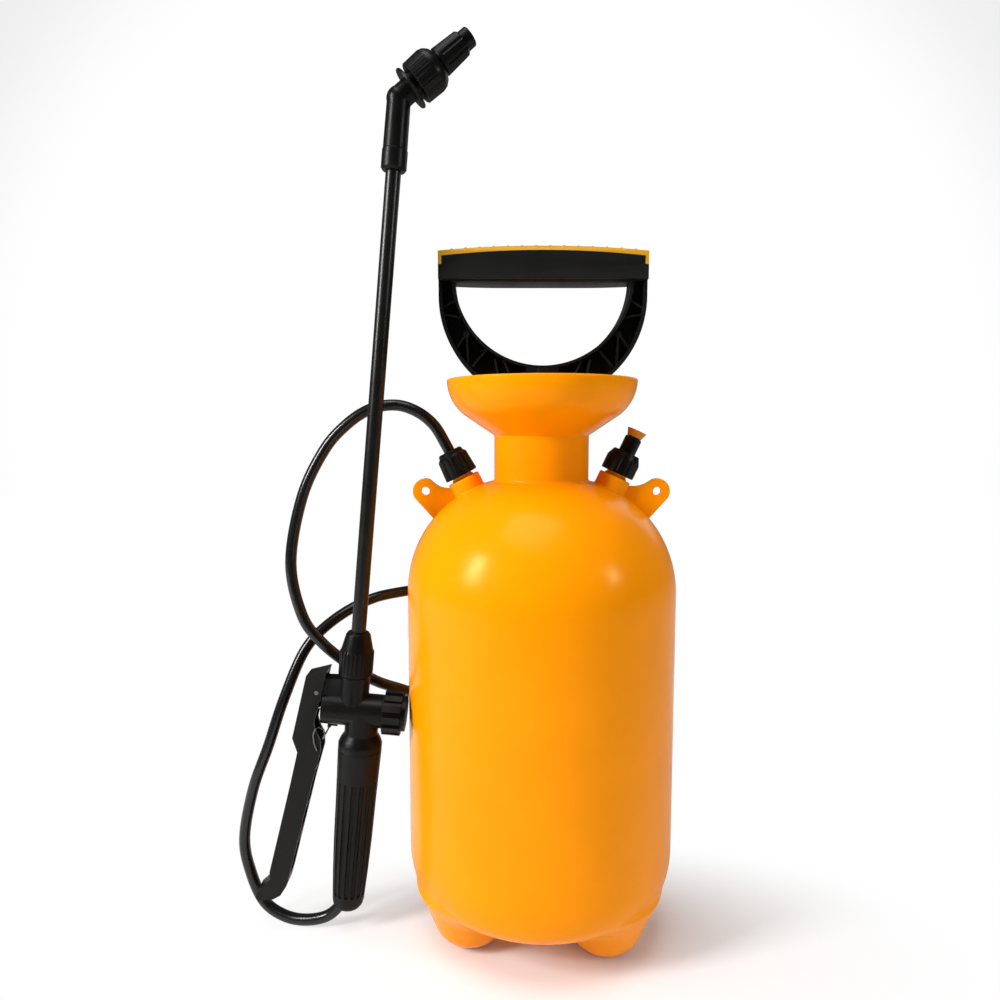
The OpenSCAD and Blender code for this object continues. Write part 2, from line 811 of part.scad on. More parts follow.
module d_outline(inset) {
  r = handle_r - inset;
  intersection() {
    translate([0, handle_z]) circle(r);
    translate([-handle_r, handle_bottom]) square([2 * handle_r, handle_r + 1]);
  }
  translate([-r, handle_z]) square([2 * r, opening_z - handle_z]);
}
module d_pocket_outline() {
  difference() {
    d_outline(outer_flange_t);
    translate([0, opening_z]) circle(opening_r + inner_flange_t);
    translate([-hub_r, handle_bottom - 1]) square([2 * hub_r, 40]);
  }
}
module rib(p, q) {
  d = q - p;
  translate(p) rotate(atan2(d[1], d[0])) translate([-0.6, -0.7]) square([norm(d) + 1.2, 1.4]);
}
module d_ribs() {
  half_w = handle_r;
  z = bar_foot + 2;
  rib([-half_w + 2, z - 21], [-half_w + 10.6, z - 16]);
  rib([-half_w + 2.4, z - 25], [-half_w + 14.6, z - 27]);
  rib([-half_w + 19, z - 37.5], [-half_w + 10.6, z - 50]);
  rib([-half_w + 19, z - 37.5], [-half_w + 20, z - 60]);
  rib([-half_w + 34, z - 47.5], [-half_w + 23, z - 60]);
  rib([-half_w + 44.6, z - 56], [-half_w + 50, z - 69]);
  rib([-half_w + 38.5, z - 56], [-half_w + 41, z - 68]);
  translate([-half_w + 19, z - 38.5]) circle(2.2);
}
// Across the bar: an upright front and back, and a shallow belly a little narrower than the bar
module bar_section() {
  half = bar_depth / 2;
  belly_half = half - 1.4;
  belly_r = (pow(belly_half, 2) + pow(belly_h, 2)) / (2 * belly_h);
  intersection() {
    translate([0, bar_foot - belly_h + belly_r]) circle(belly_r);
    translate([-belly_half, bar_foot - belly_h]) square([2 * belly_half, belly_h + 1]);
  }
  translate([-half, bar_foot]) square([bar_depth, bar_h + 10]);
}
module hand_bar() {
  foot = bar_foot - belly_h;
  intersection() {
    rotate([90, 0, 90]) linear_extrude(height = 2 * handle_r, center = true) bar_section();
    upright(bar_depth + 2)
    intersection() {
      translate([0, bar_crown_z]) circle(bar_crown_r, $fn = 360);
      translate([0, foot + belly_bow_r]) circle(belly_bow_r, $fn = 360);
      union() {
        translate([-handle_r, foot]) square([2 * handle_r, cap_skirt_z - foot]);
        translate([-bar_end_x, foot]) square([2 * bar_end_x, 50]);
      }
    }
  }
}
module handle_frame() {
  pocket_depth = (frame_depth - web_t) / 2;
  color(black)
  tank_frame()
  difference() {
    union() {
      difference() {
        upright(frame_depth) d_outline(0);
        upright(frame_depth + 2) translate([0, opening_z]) circle(opening_r);
        for (side = [-1, 1])
          translate([0, side * (web_t + pocket_depth + 1) / 2, 0]) upright(pocket_depth + 1) d_pocket_outline();
      }
      intersection() {
        upright(frame_depth - 3) {
          d_ribs();
          mirror([1, 0]) d_ribs();
        }
        upright(frame_depth) difference() {
          d_outline(outer_flange_t / 2);
          translate([0, opening_z]) circle(opening_r + inner_flange_t / 2);
        }
      }
      hand_bar();
      rod(hub_r, hub_foot, opening_foot - 2);
    }
    rod(lock_r + fit / 2, hub_foot - 1, sleeve_top);
    rod(rod_r + fit, sleeve_top - 1, rod_top);
    rod(2.2, rod_top - 1, screw_seat + 1);
    rod(4.4, screw_seat, opening_foot + 2);
  }
}
module lock_sleeve() {
  foot = guide_web + 2;
  color(black)
  tank_frame()
  difference() {
    union() {
      rod(lock_r, foot, sleeve_top);
      translate([0, 0, foot + 2]) cube([22.6, 6, 4], center = true);
    }
    rod(rod_r + fit, foot - 1, sleeve_top + 1);
  }
}
module grip_cap() {
  edge = 1.2;
  half = bar_depth / 2;
  color(cap_yellow)
  tank_frame()
  intersection() {
    union() {
      upright(bar_depth)
      difference() {
        intersection() {
          translate([0, bar_crown_z]) circle(bar_crown_r + cap_t, $fn = 360);
          translate([-handle_r, cap_skirt_z]) square([2 * handle_r, 40]);
        }
        intersection() {
          translate([0, bar_crown_z]) circle(bar_crown_r + fit, $fn = 360);
          translate([-bar_end_x - fit, cap_skirt_z - 1]) square([2 * (bar_end_x + fit), 42]);
        }
      }
      for (k = [0:cap_ridges - 1]) {
        x = (k - (cap_ridges - 1) / 2) * 2 * (bar_end_x - 2) / cap_ridges;
        translate([x, 0, bar_crown_z + sqrt(pow(bar_crown_r + cap_t, 2) - x * x) - 0.7])
          rotate([90, 0, 0]) cylinder(r = 1.3, h = bar_depth, center = true, $fn = 24);
      }
    }
    rotate([90, 0, 90])
    linear_extrude(height = 3 * handle_r, center = true)
    polygon([
      [-half, cap_skirt_z - 1], [half, cap_skirt_z - 1], [half, bar_top + cap_t - 3 * edge],
      [half - edge, bar_top + cap_t - edge], [half - 3 * edge, bar_top + cap_t + 0.8],
      [-half + 3 * edge, bar_top + cap_t + 0.8], [-half + edge, bar_top + cap_t - edge],
      [-half, bar_top + cap_t - 3 * edge]
    ]);
  }
}

// ---------------------------------------------------------------- gun

module gun_body() {
  color(black)
  difference() {
    union() {
      gun_frame() {
        turned([
          [0, grip_len], [grip_top_r, grip_len], [grip_top_r, grip_len + 1], [grip_top_r - 0.4, grip_len + 1.3],
          [grip_top_r, grip_len + 1.6], [grip_top_r, grip_len + 5.5], [grip_top_r - 1.2, grip_len + 8.5],
          [collar_neck_r, collar_top - 1.5], [collar_neck_r, valve_z], [0, valve_z]
        ]);
        rod(grip_bore_r - fit, grip_len - 12, grip_len + 1);
        translate([-19.6, 0, valve_z - 8]) cube([6.2, 6, 9], center = true);
        translate([-22.2, 0, valve_z - 12.2]) cube([2.2, 6, 3.4], center = true);
      }
      gun_frame() upright(2 * lug_half)
      polygon(concat(
        gun_k * [[-27.5, 155.6], [-7, 156], [-7, 171], [-27, 170], [-31, 168]],
        [pivot + [-3.6, 2], pivot + [-3.6, -2], pivot + [0, -3.6]]
      ));
      valve_frame() {
        rod(valve_r, valve_end, chamber_end);
        rod(4.6, valve_end - 1, valve_end + 1);
      }
      lance_frame() {
        rod(throat_r, valve_z, throat_top);
        rod(spout_r, throat_top - 1, spout_top);
      }
    }
    valve_frame() {
      rod(chamber_r, seat_x, chamber_end + 1);
      rod(stem_r + fit, valve_end - 2, seat_x + 1);
    }
    lance_frame() {
      rod(lance_r + fit, lance_foot, spout_top + 1);
      rod(2.5, valve_z, lance_foot + 1);
    }
    gun_frame() {
      rod(6.2, grip_len - 13, collar_top - 6);
      rod(3, collar_top - 7, valve_z);
      translate([pivot[0], 0, pivot[1]]) rotate([90, 0, 0]) cylinder(r = pin_r + fit / 2, h = 30, center = true);
    }
  }
}
module grip() {
  flute_foot = 12;
  flute_top = 98;
  color(black)
  gun_frame()
  difference() {
    union() {
      turned([
        [0, 1], [7, 0.4], [9, 1.4], [10.5, 3.6], [11.2, 7], [12.4, 28], [13.4, 52], [14.1, 84],
        [grip_top_r, grip_len], [0, grip_len]
      ]);
    }
    grooves(grip_flutes, 11.9, 14.8, flute_foot, flute_top, 1.5);
    rod(grip_bore_r, tail_seat + 2, grip_len + 1);
    rod(hose_r + 2.6, tail_seat - 8, tail_seat + 3);
    turned([[0, -1], [9.4, -1], [8.2, 4], [hose_r + 2.6, tail_seat - 7], [0, tail_seat - 7]]);
  }
}
module grip_tail() {
  color(natural)
  gun_frame()
  difference() {
    union() {
      rod(hose_r, tail_seat, tail_seat + 2);
      rod(grip_bore_r - fit, tail_seat + 2, tail_seat + 6);
      rod(5, tail_seat + 6, tail_seat + 16);
    }
    rod(2.2, tail_seat - 1, tail_seat + 17);
  }
}
module gun_filter() {
  color(natural)
  gun_frame()
  difference() {
    union() {
      rod(6, filter_z - 30, grip_len + 1);
      rod(8.6, filter_z, grip_len - 12);
    }
    rod(4.8, filter_z - 28, grip_len + 2);
    for (z = [filter_z - 25:5:filter_z - 5])
      translate([0, 0, z]) {
        cube([14, 3, 2.4], center = true);
        cube([3, 14, 2.4], center = true);
      }
  }
}
module valve_cap() {
  cap_r = 15;
  color(black)
  valve_frame()
  difference() {
    union() {
      rod(chamber_r - fit, chamber_end - 6, chamber_end + 2);
      rod(cap_r - 1.6, chamber_end + 1, chamber_end + cap_len);
      translate([0, 0, chamber_end + 1]) for (k = [0:11])
        rotate([0, 0, 30 * k]) translate([cap_r - 2.4, 0, 6.4]) cube([5.2, 4.4, 12.4], center = true);
      rod(cap_disc_r, chamber_end + cap_len, cap_face);
    }
    ring(valve_r + run_gap, chamber_r - fit, chamber_end - 7, chamber_end + 2);
    rod(3.2, chamber_end - 7, chamber_end - 1);
  }
}
module cap_seal() {
  color(rubber)
  valve_frame() ring(valve_r - 0.8, chamber_r + 0.4, chamber_end, chamber_end + 2);
}
module valve_seat() {
  color(natural)
  valve_frame() ring(chamber_r - fit / 2, stem_r + 0.8, seat_x, seat_x + seat_t);
}
module plunger_seal() {
  color(rubber)
  valve_frame() ring(chamber_r - 1.6, stem_r + fit / 2, seat_x + seat_t, seat_x + seat_t + 1.8);
}
plunger_face = seat_x + seat_t + 1.8;
spring_foot = plunger_face + 2.4;
valve_wire_r = 0.5;
valve_coil = coil_points(4.2, spring_foot + valve_wire_r + 0.1, chamber_end - 6 - valve_wire_r - 0.1, 6);
module valve_plunger() {
  color(steel)
  valve_frame() {
    rod(stem_r, stem_tip, plunger_face);
    rod(chamber_r - 1.4, plunger_face, spring_foot);
    rod(2.4, spring_foot, spring_foot + 3);
  }
}
module valve_spring() {
  color(steel)
  valve_frame() sweep(valve_coil, valve_wire_r, 6, [0, 0, 1]);
}
module trigger_outline() {
  polygon(gun_k * [
    [-39.6, 171.3], [-25.3, 176.3], [-28.6, 156], [-31.9, 140], [-32.2, 137.5], [-30.8, 133], [-26.8, 126],
    [-26, 118.1], [-30.7, 93.3], [-41.7, 24.9], [-43.6, 15], [-47.2, 8], [-52, 4.6], [-62.6, 2.4],
    [-64.4, 4.2], [-64.2, 8.6], [-59, 14.2], [-55.4, 19.6], [-56, 25], [-45.5, 91.9], [-42.1, 115.8],
    [-46.3, 125.7]
  ]);
}
module trigger_hollow() {
  polygon(gun_k * [
    [-37, 168.6], [-37, 169.4], [-20, 175.4], [-20, 110], [-27.5, 93.3], [-38.6, 24.6], [-46, 22],
    [-52.6, 25], [-42.3, 91.9], [-38.8, 115.8], [-42.6, 126.6]
  ]);
}
module trigger() {
  color(black)
  gun_frame()
  difference() {
    upright(trigger_w) trigger_outline();
    difference() {
      upright(trigger_w - 2 * cheek) trigger_hollow();
      translate([stem_tip - pad_r - fit, 0, valve_z])
        rotate([90, 0, 0]) cylinder(r = pad_r, h = trigger_w, center = true);
      translate([stem_tip - pad_r - 8, 0, valve_z]) cube([16, trigger_w, 3], center = true);
      for (z = [48, 76, 104])
        translate(gun_k * [-42 + (z - 48) * 0.16, 0, z]) cube([40, trigger_w, 2], center = true);
    }
    translate([pivot[0], 0, pivot[1]]) rotate([90, 0, 0]) cylinder(r = pin_r + fit / 2, h = 30, center = true);
    translate([latch_pivot[0], 0, latch_pivot[1]])
      rotate([90, 0, 0]) cylinder(r = wire_r + fit, h = 30, center = true);
  }
}
module trigger_pin() {
  color(steel)
  gun_frame() translate([pivot[0], 0, pivot[1]])
    rotate([90, 0, 0]) cylinder(r = pin_r, h = trigger_w - 0.6, center = true);
}
// The latch: a bent wire that pivots in the trigger and hooks over the gun's nub
latch_side = concat(
  [latch_pivot],
  gun_k * [
    [-30.6, 124.4], [-31.6, 130], [-30.6, 134.6], [-27.6, 136.2], [-24.6, 134.6], [-23.4, 131.4],
    [-24.6, 128.4]
  ]
);
module latch_wire() {
  y = trigger_w / 2 + 1;
  last = len(latch_side) - 1;
  near_leg = [for (p = latch_side) [p[0], -y, p[1]]];
  far_leg = [for (k = [last:-1:0]) [latch_side[k][0], y, latch_side[k][1]]];
  inner = y - cheek - 2;
  path = concat(
    [[latch_pivot[0], -inner, latch_pivot[1]]], near_leg, far_leg, [[latch_pivot[0], inner, latch_pivot[1]]]
  );
  color(steel)
  gun_frame() sweep(path, wire_r, 8, [1, 0.02, 1]);
}

// ---------------------------------------------------------------- lance and nozzle

module lance_nut() {
  color(black)
  lance_frame()
  difference() {
    turned([
      [0, throat_top + 0.3], [10.6, throat_top + 0.3], [11.8, throat_top + 1.4], [11.8, spout_top + 0.7],
      [11, spout_top + 1.9], [8.4, nut_top - 1.6], [7.2, nut_top], [0, nut_top]
    ]);
    grooves(24, 12.3, 11.9, throat_top + 4, spout_top + 2.5, 0.95);
    rod(spout_r + fit, throat_top, spout_top + 3);
    rod(lance_r + run_gap, spout_top, nut_top + 1);
  }
}
module lance_seal() {
  color(rubber)
  lance_frame() ring(spout_r, lance_r + fit, spout_top, spout_top + 3);
}
module lance_tube() {
  color(black)
  lance_frame() ring(lance_r, lance_bore_d / 2, lance_foot, elbow_foot + elbow_socket);
}
module elbow() {
  color(black)
  difference() {
    union() {
      lance_frame() {
        turned([
          [0, elbow_foot], [7.2, elbow_foot], [8.3, elbow_foot + 1.6], [8.3, elbow_foot + 12.6],
          [elbow_r + 0.3, elbow_foot + 13.6], [elbow_r, bend_z], [0, bend_z]
        ]);
        translate([0, 0, bend_z]) sphere(elbow_r + 0.4);
      }
      nozzle_frame() {
        rod(elbow_r, 0, shield_z + 1);
        rod(9.4, shield_z, core_face);
        turned([
          [0, shield_z], [shield_r - 0.6, shield_z], [shield_r, shield_z + 1], [shield_r - 0.6, shield_z + 2],
          [0, shield_z + 2]
        ]);
      }
    }
    lance_frame() {
      rod(lance_r + fit, elbow_foot - 1, elbow_foot + elbow_socket);
      rod(2.5, elbow_foot, bend_z);
      translate([0, 0, bend_z]) sphere(2.8);
    }
    nozzle_frame() rod(2.5, 0, core_face + 1);
  }
}
module nozzle_core() {
  color(natural)
  nozzle_frame()
  difference() {
    union() {
      rod(9.6, core_face, core_face + 2);
      rod(core_r, core_face, core_top);
    }
    rod(2, core_face - 1, core_top + 1);
  }
}
module nozzle_nut() {
  color(black)
  nozzle_frame() translate([0, 0, nozzle_nut_z])
  difference() {
    turned([
      [0, 0], [nozzle_nut_r - 1.2, 0], [nozzle_nut_r - 0.4, 0.8], [nozzle_nut_r, 12.4],
      [nozzle_nut_r - 0.9, 15.6], [nozzle_nut_r - 3, 18.2], [nozzle_nut_r - 5, nozzle_nut_h], [0, nozzle_nut_h]
    ]);
    grooves(20, nozzle_nut_r + 0.9, nozzle_nut_r + 1.3, -1, 17, 1.5);
    rod(10, -1, core_face + 2 - nozzle_nut_z);
    rod(7.2, core_face - nozzle_nut_z, nozzle_nut_h + 1);
  }
}
module nozzle_tip() {
  color(black)
  nozzle_frame()
  difference() {
    union() {
      rod(6.8, core_face + 2 + run_gap, tip_z + 1);
      difference() {
        turned([
          [0, tip_z], [tip_r - 0.6, tip_z], [tip_r, tip_z + 0.8], [tip_r - 1.2, tip_z + tip_h - 1],
          [tip_r - 2, tip_z + tip_h], [0, tip_z + tip_h]
        ]);
        grooves(8, tip_r + 1.2, tip_r - 0.1, tip_z + 3, tip_z + tip_h + 1, 2);
      }
      turned([[0, tip_z], [6.5, tip_z + tip_h - 1], [6.4, tip_end - 0.6], [5.8, tip_end], [0, tip_end]]);
    }
    rod(core_r + fit, core_face + 1, core_top + 2);
    rod(3.4, core_top + 1, core_top + 5);
    rod(1, core_top + 4, tip_end + 1);
    translate([0, 0, tip_end - 2.4]) cylinder(r1 = 1, r2 = 4.4, h = 2.5);
  }
}
module swirl_disc() {
  color(natural)
  nozzle_frame()
  difference() {
    rod(3.4 - fit / 2, core_top + 3, core_top + 5);
    translate([0, 0, core_top + 3]) cube([9, 0.8, 1], center = true);
  }
}

// ---------------------------------------------------------------- hose

hose_path = smooth_path(
  concat(
    [hose_port_point(hose_start), hose_port_point(hose_start + 10)],
    hose_points,
    [gun_point(-1.6, tail_seat - 16), gun_point(0, tail_seat)]
  ),
  2
);
function path_length(p, i = 1) = i < len(p) ? norm(p[i] - p[i - 1]) + path_length(p, i + 1) : 0;
module hose() {
  color(black)
  tank_frame() sweep(hose_path, hose_r, 10, [0, 1, 0]);
}
echo(hose_length = path_length(hose_path), hose_rings = len(hose_path));
echo(valve_spring_gap = nearest_pass(valve_coil) - 2 * valve_wire_r);
echo(relief_spring_gap = nearest_pass(relief_coil) - 2 * relief_wire_r);

tank();
hose_nut();
hose_tail();
hose_seal();
dip_tube();
pickup_filter();
relief_nut();
relief_stem();
relief_washer();
relief_spring();
relief_pin();
relief_seal();
relief_knob();
pump_seal();
pump_head();
pump_barrel();
check_valve();
rod_guide();
pump_rod();
piston();
piston_seal();
rod_nut();
handle_screw();
handle_frame();
lock_sleeve();
grip_cap();
gun_body();
grip();
grip_tail();
gun_filter();
valve_cap();
cap_seal();
valve_seat();
valve_plunger();
plunger_seal();
valve_spring();
trigger();
trigger_pin();
latch_wire();
lance_nut();
lance_seal();
lance_tube();
elbow();
nozzle_core();
nozzle_nut();
nozzle_tip();
swirl_disc();
hose();
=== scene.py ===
"""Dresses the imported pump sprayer: camera, materials, hose, studio, filleted tank and rounded edges."""

import json
import math

import bmesh
import bpy
import numpy as np
from mathutils import Matrix, Vector


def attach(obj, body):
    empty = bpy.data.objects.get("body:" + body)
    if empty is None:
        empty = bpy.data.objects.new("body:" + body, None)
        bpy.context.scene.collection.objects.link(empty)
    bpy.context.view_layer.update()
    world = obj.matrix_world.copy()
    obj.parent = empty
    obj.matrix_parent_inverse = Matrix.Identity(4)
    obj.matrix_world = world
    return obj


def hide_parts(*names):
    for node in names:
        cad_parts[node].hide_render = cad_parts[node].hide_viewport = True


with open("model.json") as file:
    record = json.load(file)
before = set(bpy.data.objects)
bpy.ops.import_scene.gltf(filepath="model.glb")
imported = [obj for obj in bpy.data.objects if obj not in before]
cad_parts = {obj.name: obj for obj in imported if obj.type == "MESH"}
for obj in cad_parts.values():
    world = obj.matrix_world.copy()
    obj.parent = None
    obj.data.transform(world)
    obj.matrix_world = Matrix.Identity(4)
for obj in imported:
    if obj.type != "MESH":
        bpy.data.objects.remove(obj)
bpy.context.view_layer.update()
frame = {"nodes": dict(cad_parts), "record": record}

MM = 0.001
scene = bpy.context.scene

# The tank's axis stands midway between the two strap lugs, metres from the origin along X.
LUGS = [m for m in frame["record"]["mounts"] if m["name"].startswith("strap_lug")]
AXIS_X = sum(m["pos_m"][0] for m in LUGS) / len(LUGS)


# ---------------------------------------------------------------- camera

CAMERA_AT = (AXIS_X - 0.0293, -0.530, 0.3585)
CAMERA_PITCH = math.radians(5.355)
FOCAL_PX, IMAGE_PX = 746.8, 1000
SENSOR_MM = 36.0

camera_data = bpy.data.cameras.new("camera")
camera_data.sensor_fit = "HORIZONTAL"
camera_data.sensor_width = SENSOR_MM
camera_data.lens = SENSOR_MM * FOCAL_PX / IMAGE_PX
camera_data.clip_start = 0.01
camera = bpy.data.objects.new("camera", camera_data)
camera.location = CAMERA_AT
camera.rotation_euler = (math.pi / 2 - CAMERA_PITCH, 0, 0)
scene.collection.objects.link(camera)
scene.camera = camera
scene.view_settings.view_transform = "Standard"


# ---------------------------------------------------------------- sizes shared with the CAD
# Millimetres from the tank's axis, and degrees but for the gun's two angles.

# Body: side, shoulder, the waisted flank above the heel, and the wall.
BODY_R = 95.0
BODY_TOP = 245.0
SHOULDER_R = 80.0
SHOULDER_C = (BODY_R - SHOULDER_R, BODY_TOP)
BASE_Z = 29.0
FLANK_R, FLANK_ANGLE, HEEL_R = 60.0, 15.0, 22.0
FLANK_C = (BODY_R - FLANK_R, BASE_Z + HEEL_R + (FLANK_R - HEEL_R) * math.sin(math.radians(FLANK_ANGLE)))
HEEL_C = (
    FLANK_C[0] + (FLANK_R - HEEL_R) * math.cos(math.radians(FLANK_ANGLE)),
    BASE_Z + HEEL_R,
)
WALL = 3.0

# Feet: where they stand, their round toe with the widening leg, and the shoulder above it.
FOOT_CIRCLE, FOOT_SPREAD, FOOT_TURN = 58.3, 53.5, -5.4
FOOT_FLAT, FOOT_ROUND, FOOT_FLARE = 5.0, 22.0, 22.0
FOOT_SHOULDER_Z, FOOT_TOP, FOOT_DRAW_IN = FLANK_C[1] - 20.8, FLANK_C[1] - 2.8, 16.0

# Neck and filling bowl.
NECK_R, NECK_BORE = 33.3, 30.0
RIM_R, RIM_Z, BOWL_R, BOWL_SLOPE, BOWL_WALL = 66.5, 393.5, 31.0, 30.0, 2.6
BOWL_C = (RIM_R - BOWL_R, RIM_Z)
SEAT_R = 38.5

# Ports and strap lugs on the shoulder; -1 is the left side.
PORT_TILT = {-1: 27.0, 1: 25.0}
BOSS_R, BOSS_TOP, SPIGOT_R, SPIGOT_TOP = 11.6, 89.0, 7.75, 103.0
LUG_STAND, LUG_ANGLE, LUG_R, LUG_HOLE_R, LUG_T, LUG_EDGE_ANGLE = 17.25, 46.3, 9.0, 3.0, 5.0, 48.0

# Hose: it leaves the left port, follows the points, and ends in the gun's grip.
HOSE_R = 4.0
HOSE_START, HOSE_STRAIGHT = 106.0, 10
HOSE_POINTS = [
    (-76, 0, 362), (-88, 0, 371.5), (-103, 0, 376), (-121, 0, 373), (-138, 0, 362),
    (-154, 0, 344), (-170, -1, 311), (-179, -2, 264), (-172, -2, 226), (-159, -1, 206),
    (-141, 2, 189), (-122, 8, 174), (-105, 26, 161), (-88, 54, 144), (-58, 88, 112),
    (-14, 109, 56), (12, 112, 23), (42, 112, 5), (74, 112, 14), (94, 109, 44),
    (96, 107, 88), (82, 106, 128), (52, 103, 170), (12, 100, 203), (-30, 95, 223),
    (-62, 79, 231), (-108, 46, 232), (-132, 32, 228), (-156, 20, 215), (-174, 12, 196),
    (-188, 3, 162), (-199, -2, 128), (-210, -5, 97), (-217, -6.5, 60), (-213, -6.5, 33),
    (-203, -8.5, 12), (-186, -14, 4.3), (-168, -18, 4.3), (-152, -19, 9.5),
]
GUN_LEAN, GUN_TIP = math.radians(5.45), math.radians(1.3)
GUN_AT = (-139.52, -19.0, 16.0)
HOSE_IN_GUN = [(-1.6, 0, 8), (0, 0, 24)]


# ---------------------------------------------------------------- sizes of the scene's own

# The bowl's underside is steeper here than in the solid, as in the photograph.
BOWL_OUTER_SLOPE = 34.0

# Fillets and rounded edges, millimetres. A boss starts BOSS_FOOT inside the shoulder.
FOOT_BLEND = 7.0
NECK_BLEND, NECK_CREASE = 2.2, 1.0
RIM_OUTER, RIM_INNER = 1.2, 0.5
SEAT_EDGE = 0.3
BOSS_FILLET, BOSS_SUNK, BOSS_FOOT = 1.4, 0.12, 3
LUG_ROUND = 0.55

# Threads on the two spigots. THREAD_TURN goes up one turn, as radius and height.
THREAD_TURNS, THREAD_PITCH, THREAD_START, THREAD_END = 5, 2.6, 1.3, 0.1
THREAD_ROOT = SPIGOT_R - 0.55
THREAD_TURN = ((THREAD_ROOT, 0.1), (THREAD_ROOT, 1.0), (SPIGOT_R, 1.6), (SPIGOT_R, 2.2))
SPIGOT_BORE, SPIGOT_FLOOR = 5.0, 60.0

# How finely things are drawn.
HOSE_SIDES, HOSE_STEPS = 20, 8
TANK_COLUMNS, UNDERSIDE_ROWS = 288, 120
BOSS_COLUMNS, FILLET_STEPS = 96, 5


def port_matrix(side):
    """Frame of a port: z runs out along its axis from the centre of the shoulder's arc."""
    tilt = math.radians(PORT_TILT[side])
    centre = Matrix.Translation((side * SHOULDER_C[0], 0, SHOULDER_C[1]))
    return centre @ Matrix.Rotation(side * tilt, 4, "Y")


def gun_matrix():
    """Frame of the gun: z runs up its leaning grip."""
    return Matrix.Translation(GUN_AT) @ Matrix.Rotation(GUN_LEAN, 4, "Y") @ Matrix.Rotation(GUN_TIP, 4, "X")


# ---------------------------------------------------------------- mesh helpers


def placed(p):
    """A point in millimetres from the tank's axis, in the frame's metres."""
    return (p[0] * MM + AXIS_X, p[1] * MM, p[2] * MM)


def mesh_from(name, points_mm, faces):
    mesh = bpy.data.meshes.new(name)
    mesh.from_pydata([placed(p) for p in points_mm], [], faces)
    mesh.validate()
    return mesh


def new_object(name, mesh, body, look):
    """A smooth-shaded object that rides on a body and fills a material slot."""
    obj = bpy.data.objects.new(name, mesh)
    scene.collection.objects.link(obj)
    mesh.materials.append(look)
    mesh.shade_smooth()
    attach(obj, body)
    return obj


def mark_sharp(obj, degrees):
    obj.data.set_sharp_from_angle(angle=math.radians(degrees))


def side_name(side):
    return "left" if side < 0 else "right"


def circle(columns):
    """Cosine and sine at equal steps round a circle."""
    turns = [2 * math.pi * k / columns for k in range(columns)]
    return [(math.cos(a), math.sin(a)) for a in turns]


def polar(c, r, degrees):
    """The point at a distance and an angle from a centre."""
    a = math.radians(degrees)
    return (c[0] + r * math.cos(a), c[1] + r * math.sin(a))


def arc(c, r, a0, a1, n):
    """n steps round an arc, with both its ends."""
    return [polar(c, r, a0 + (a1 - a0) * k / n) for k in range(n + 1)]


def grid_faces(rows, columns):
    """Quads between rows of points, each row running round once."""
    faces = []
    for i in range(rows - 1):
        a, b = i * columns, (i + 1) * columns
        for j in range(columns):
            k = (j + 1) % columns
            faces.append((a + j, a + k, b + k, b + j))
    return faces


def smooth_line(points, steps):
    """The same Catmull-Rom curve that the hose's solid follows."""
    p = [Vector(q) for q in points]
    out = []
    for i in range(len(p) - 1):
        b, c = p[i], p[i + 1]
        a = p[i - 1] if i else 2 * b - c
        d = p[i + 2] if i + 2 < len(p) else 2 * c - b
        for k in range(steps):
            t = k / steps
            out.append(0.5 * (
                2 * b + (c - a) * t + (2 * a - 5 * b + 4 * c - d) * t**2 + (3 * b - a - 3 * c + d) * t**3
            ))
    out.append(p[-1])
    return out


def tube_points(line, radius, sides):
    """Rings along a line, turned as little as possible from one to the next."""
    rings = []
    across = None
    for i, p in enumerate(line):
        along = (line[min(i + 1, len(line) - 1)] - line[max(i - 1, 0)]).normalized()
        if across is None:
            across = along.orthogonal().normalized()
        across = (across - along * across.dot(along)).normalized()
        other = along.cross(across)
        rings += [p + radius * (cos * across + sin * other) for cos, sin in circle(sides)]
    return rings


# ---------------------------------------------------------------- node helpers


def feed(tree, socket, value):
    """Links an input to another node's output, or sets it to a number or a colour."""
    if isinstance(value, bpy.types.NodeSocket):
        tree.links.new(value, socket)
    elif isinstance(value, tuple):
        socket.default_value = (*value, 1)
    else:
        socket.default_value = value


def mapped(tree, value, source, target, interpolation="LINEAR"):
    """A value carried from one range to another."""
    node = tree.nodes.new("ShaderNodeMapRange")
    node.interpolation_type = interpolation
    for name, number in zip(("From Min", "From Max", "To Min", "To Max"), (*source, *target)):
        node.inputs[name].default_value = number
    feed(tree, node.inputs["Value"], value)
    return node.outputs["Result"]


def mixed(tree, kind, factor, a, b):
    """Two numbers (FLOAT) or colours (RGBA) mixed by a factor."""
    node = tree.nodes.new("ShaderNodeMix")
    node.data_type = kind
    for name, value in (("Factor", factor), ("A", a), ("B", b)):
        feed(tree, node.inputs[name], value)
    return node.outputs["Result"]


def combined(tree, operation, a, b):
    """Two numbers put through a Math node."""
    node = tree.nodes.new("ShaderNodeMath")
    node.operation = operation
    feed(tree, node.inputs[0], a)
    feed(tree, node.inputs[1], b)
    return node.outputs[0]


def noise(tree, place, size_mm, detail, rough=0.55):
    """Noise whose marks are about size_mm across."""
    node = tree.nodes.new("ShaderNodeTexNoise")
    node.inputs["Scale"].default_value = 1 / MM / size_mm
    node.inputs["Detail"].default_value = detail
    node.inputs["Roughness"].default_value = rough
    tree.links.new(place, node.inputs["Vector"])
    return node.outputs["Fac"]


def bumped(tree, height, depth_mm, normal=None):
    """A normal pushed about by a height, on top of another normal if one is given."""
    node = tree.nodes.new("ShaderNodeBump")
    node.inputs["Strength"].default_value = 1.0
    node.inputs["Distance"].default_value = depth_mm * MM
    tree.links.new(height, node.inputs["Height"])
    if normal is not None:
        tree.links.new(normal, node.inputs["Normal"])
    return node.outputs["Normal"]


# ---------------------------------------------------------------- materials

# Sizes of the marks on every surface, millimetres.
MOTTLE_MM, GLOSS_MM, SCUFF_MM, RIPPLE_MM = 45.0, 14.0, 3.5, 38.0

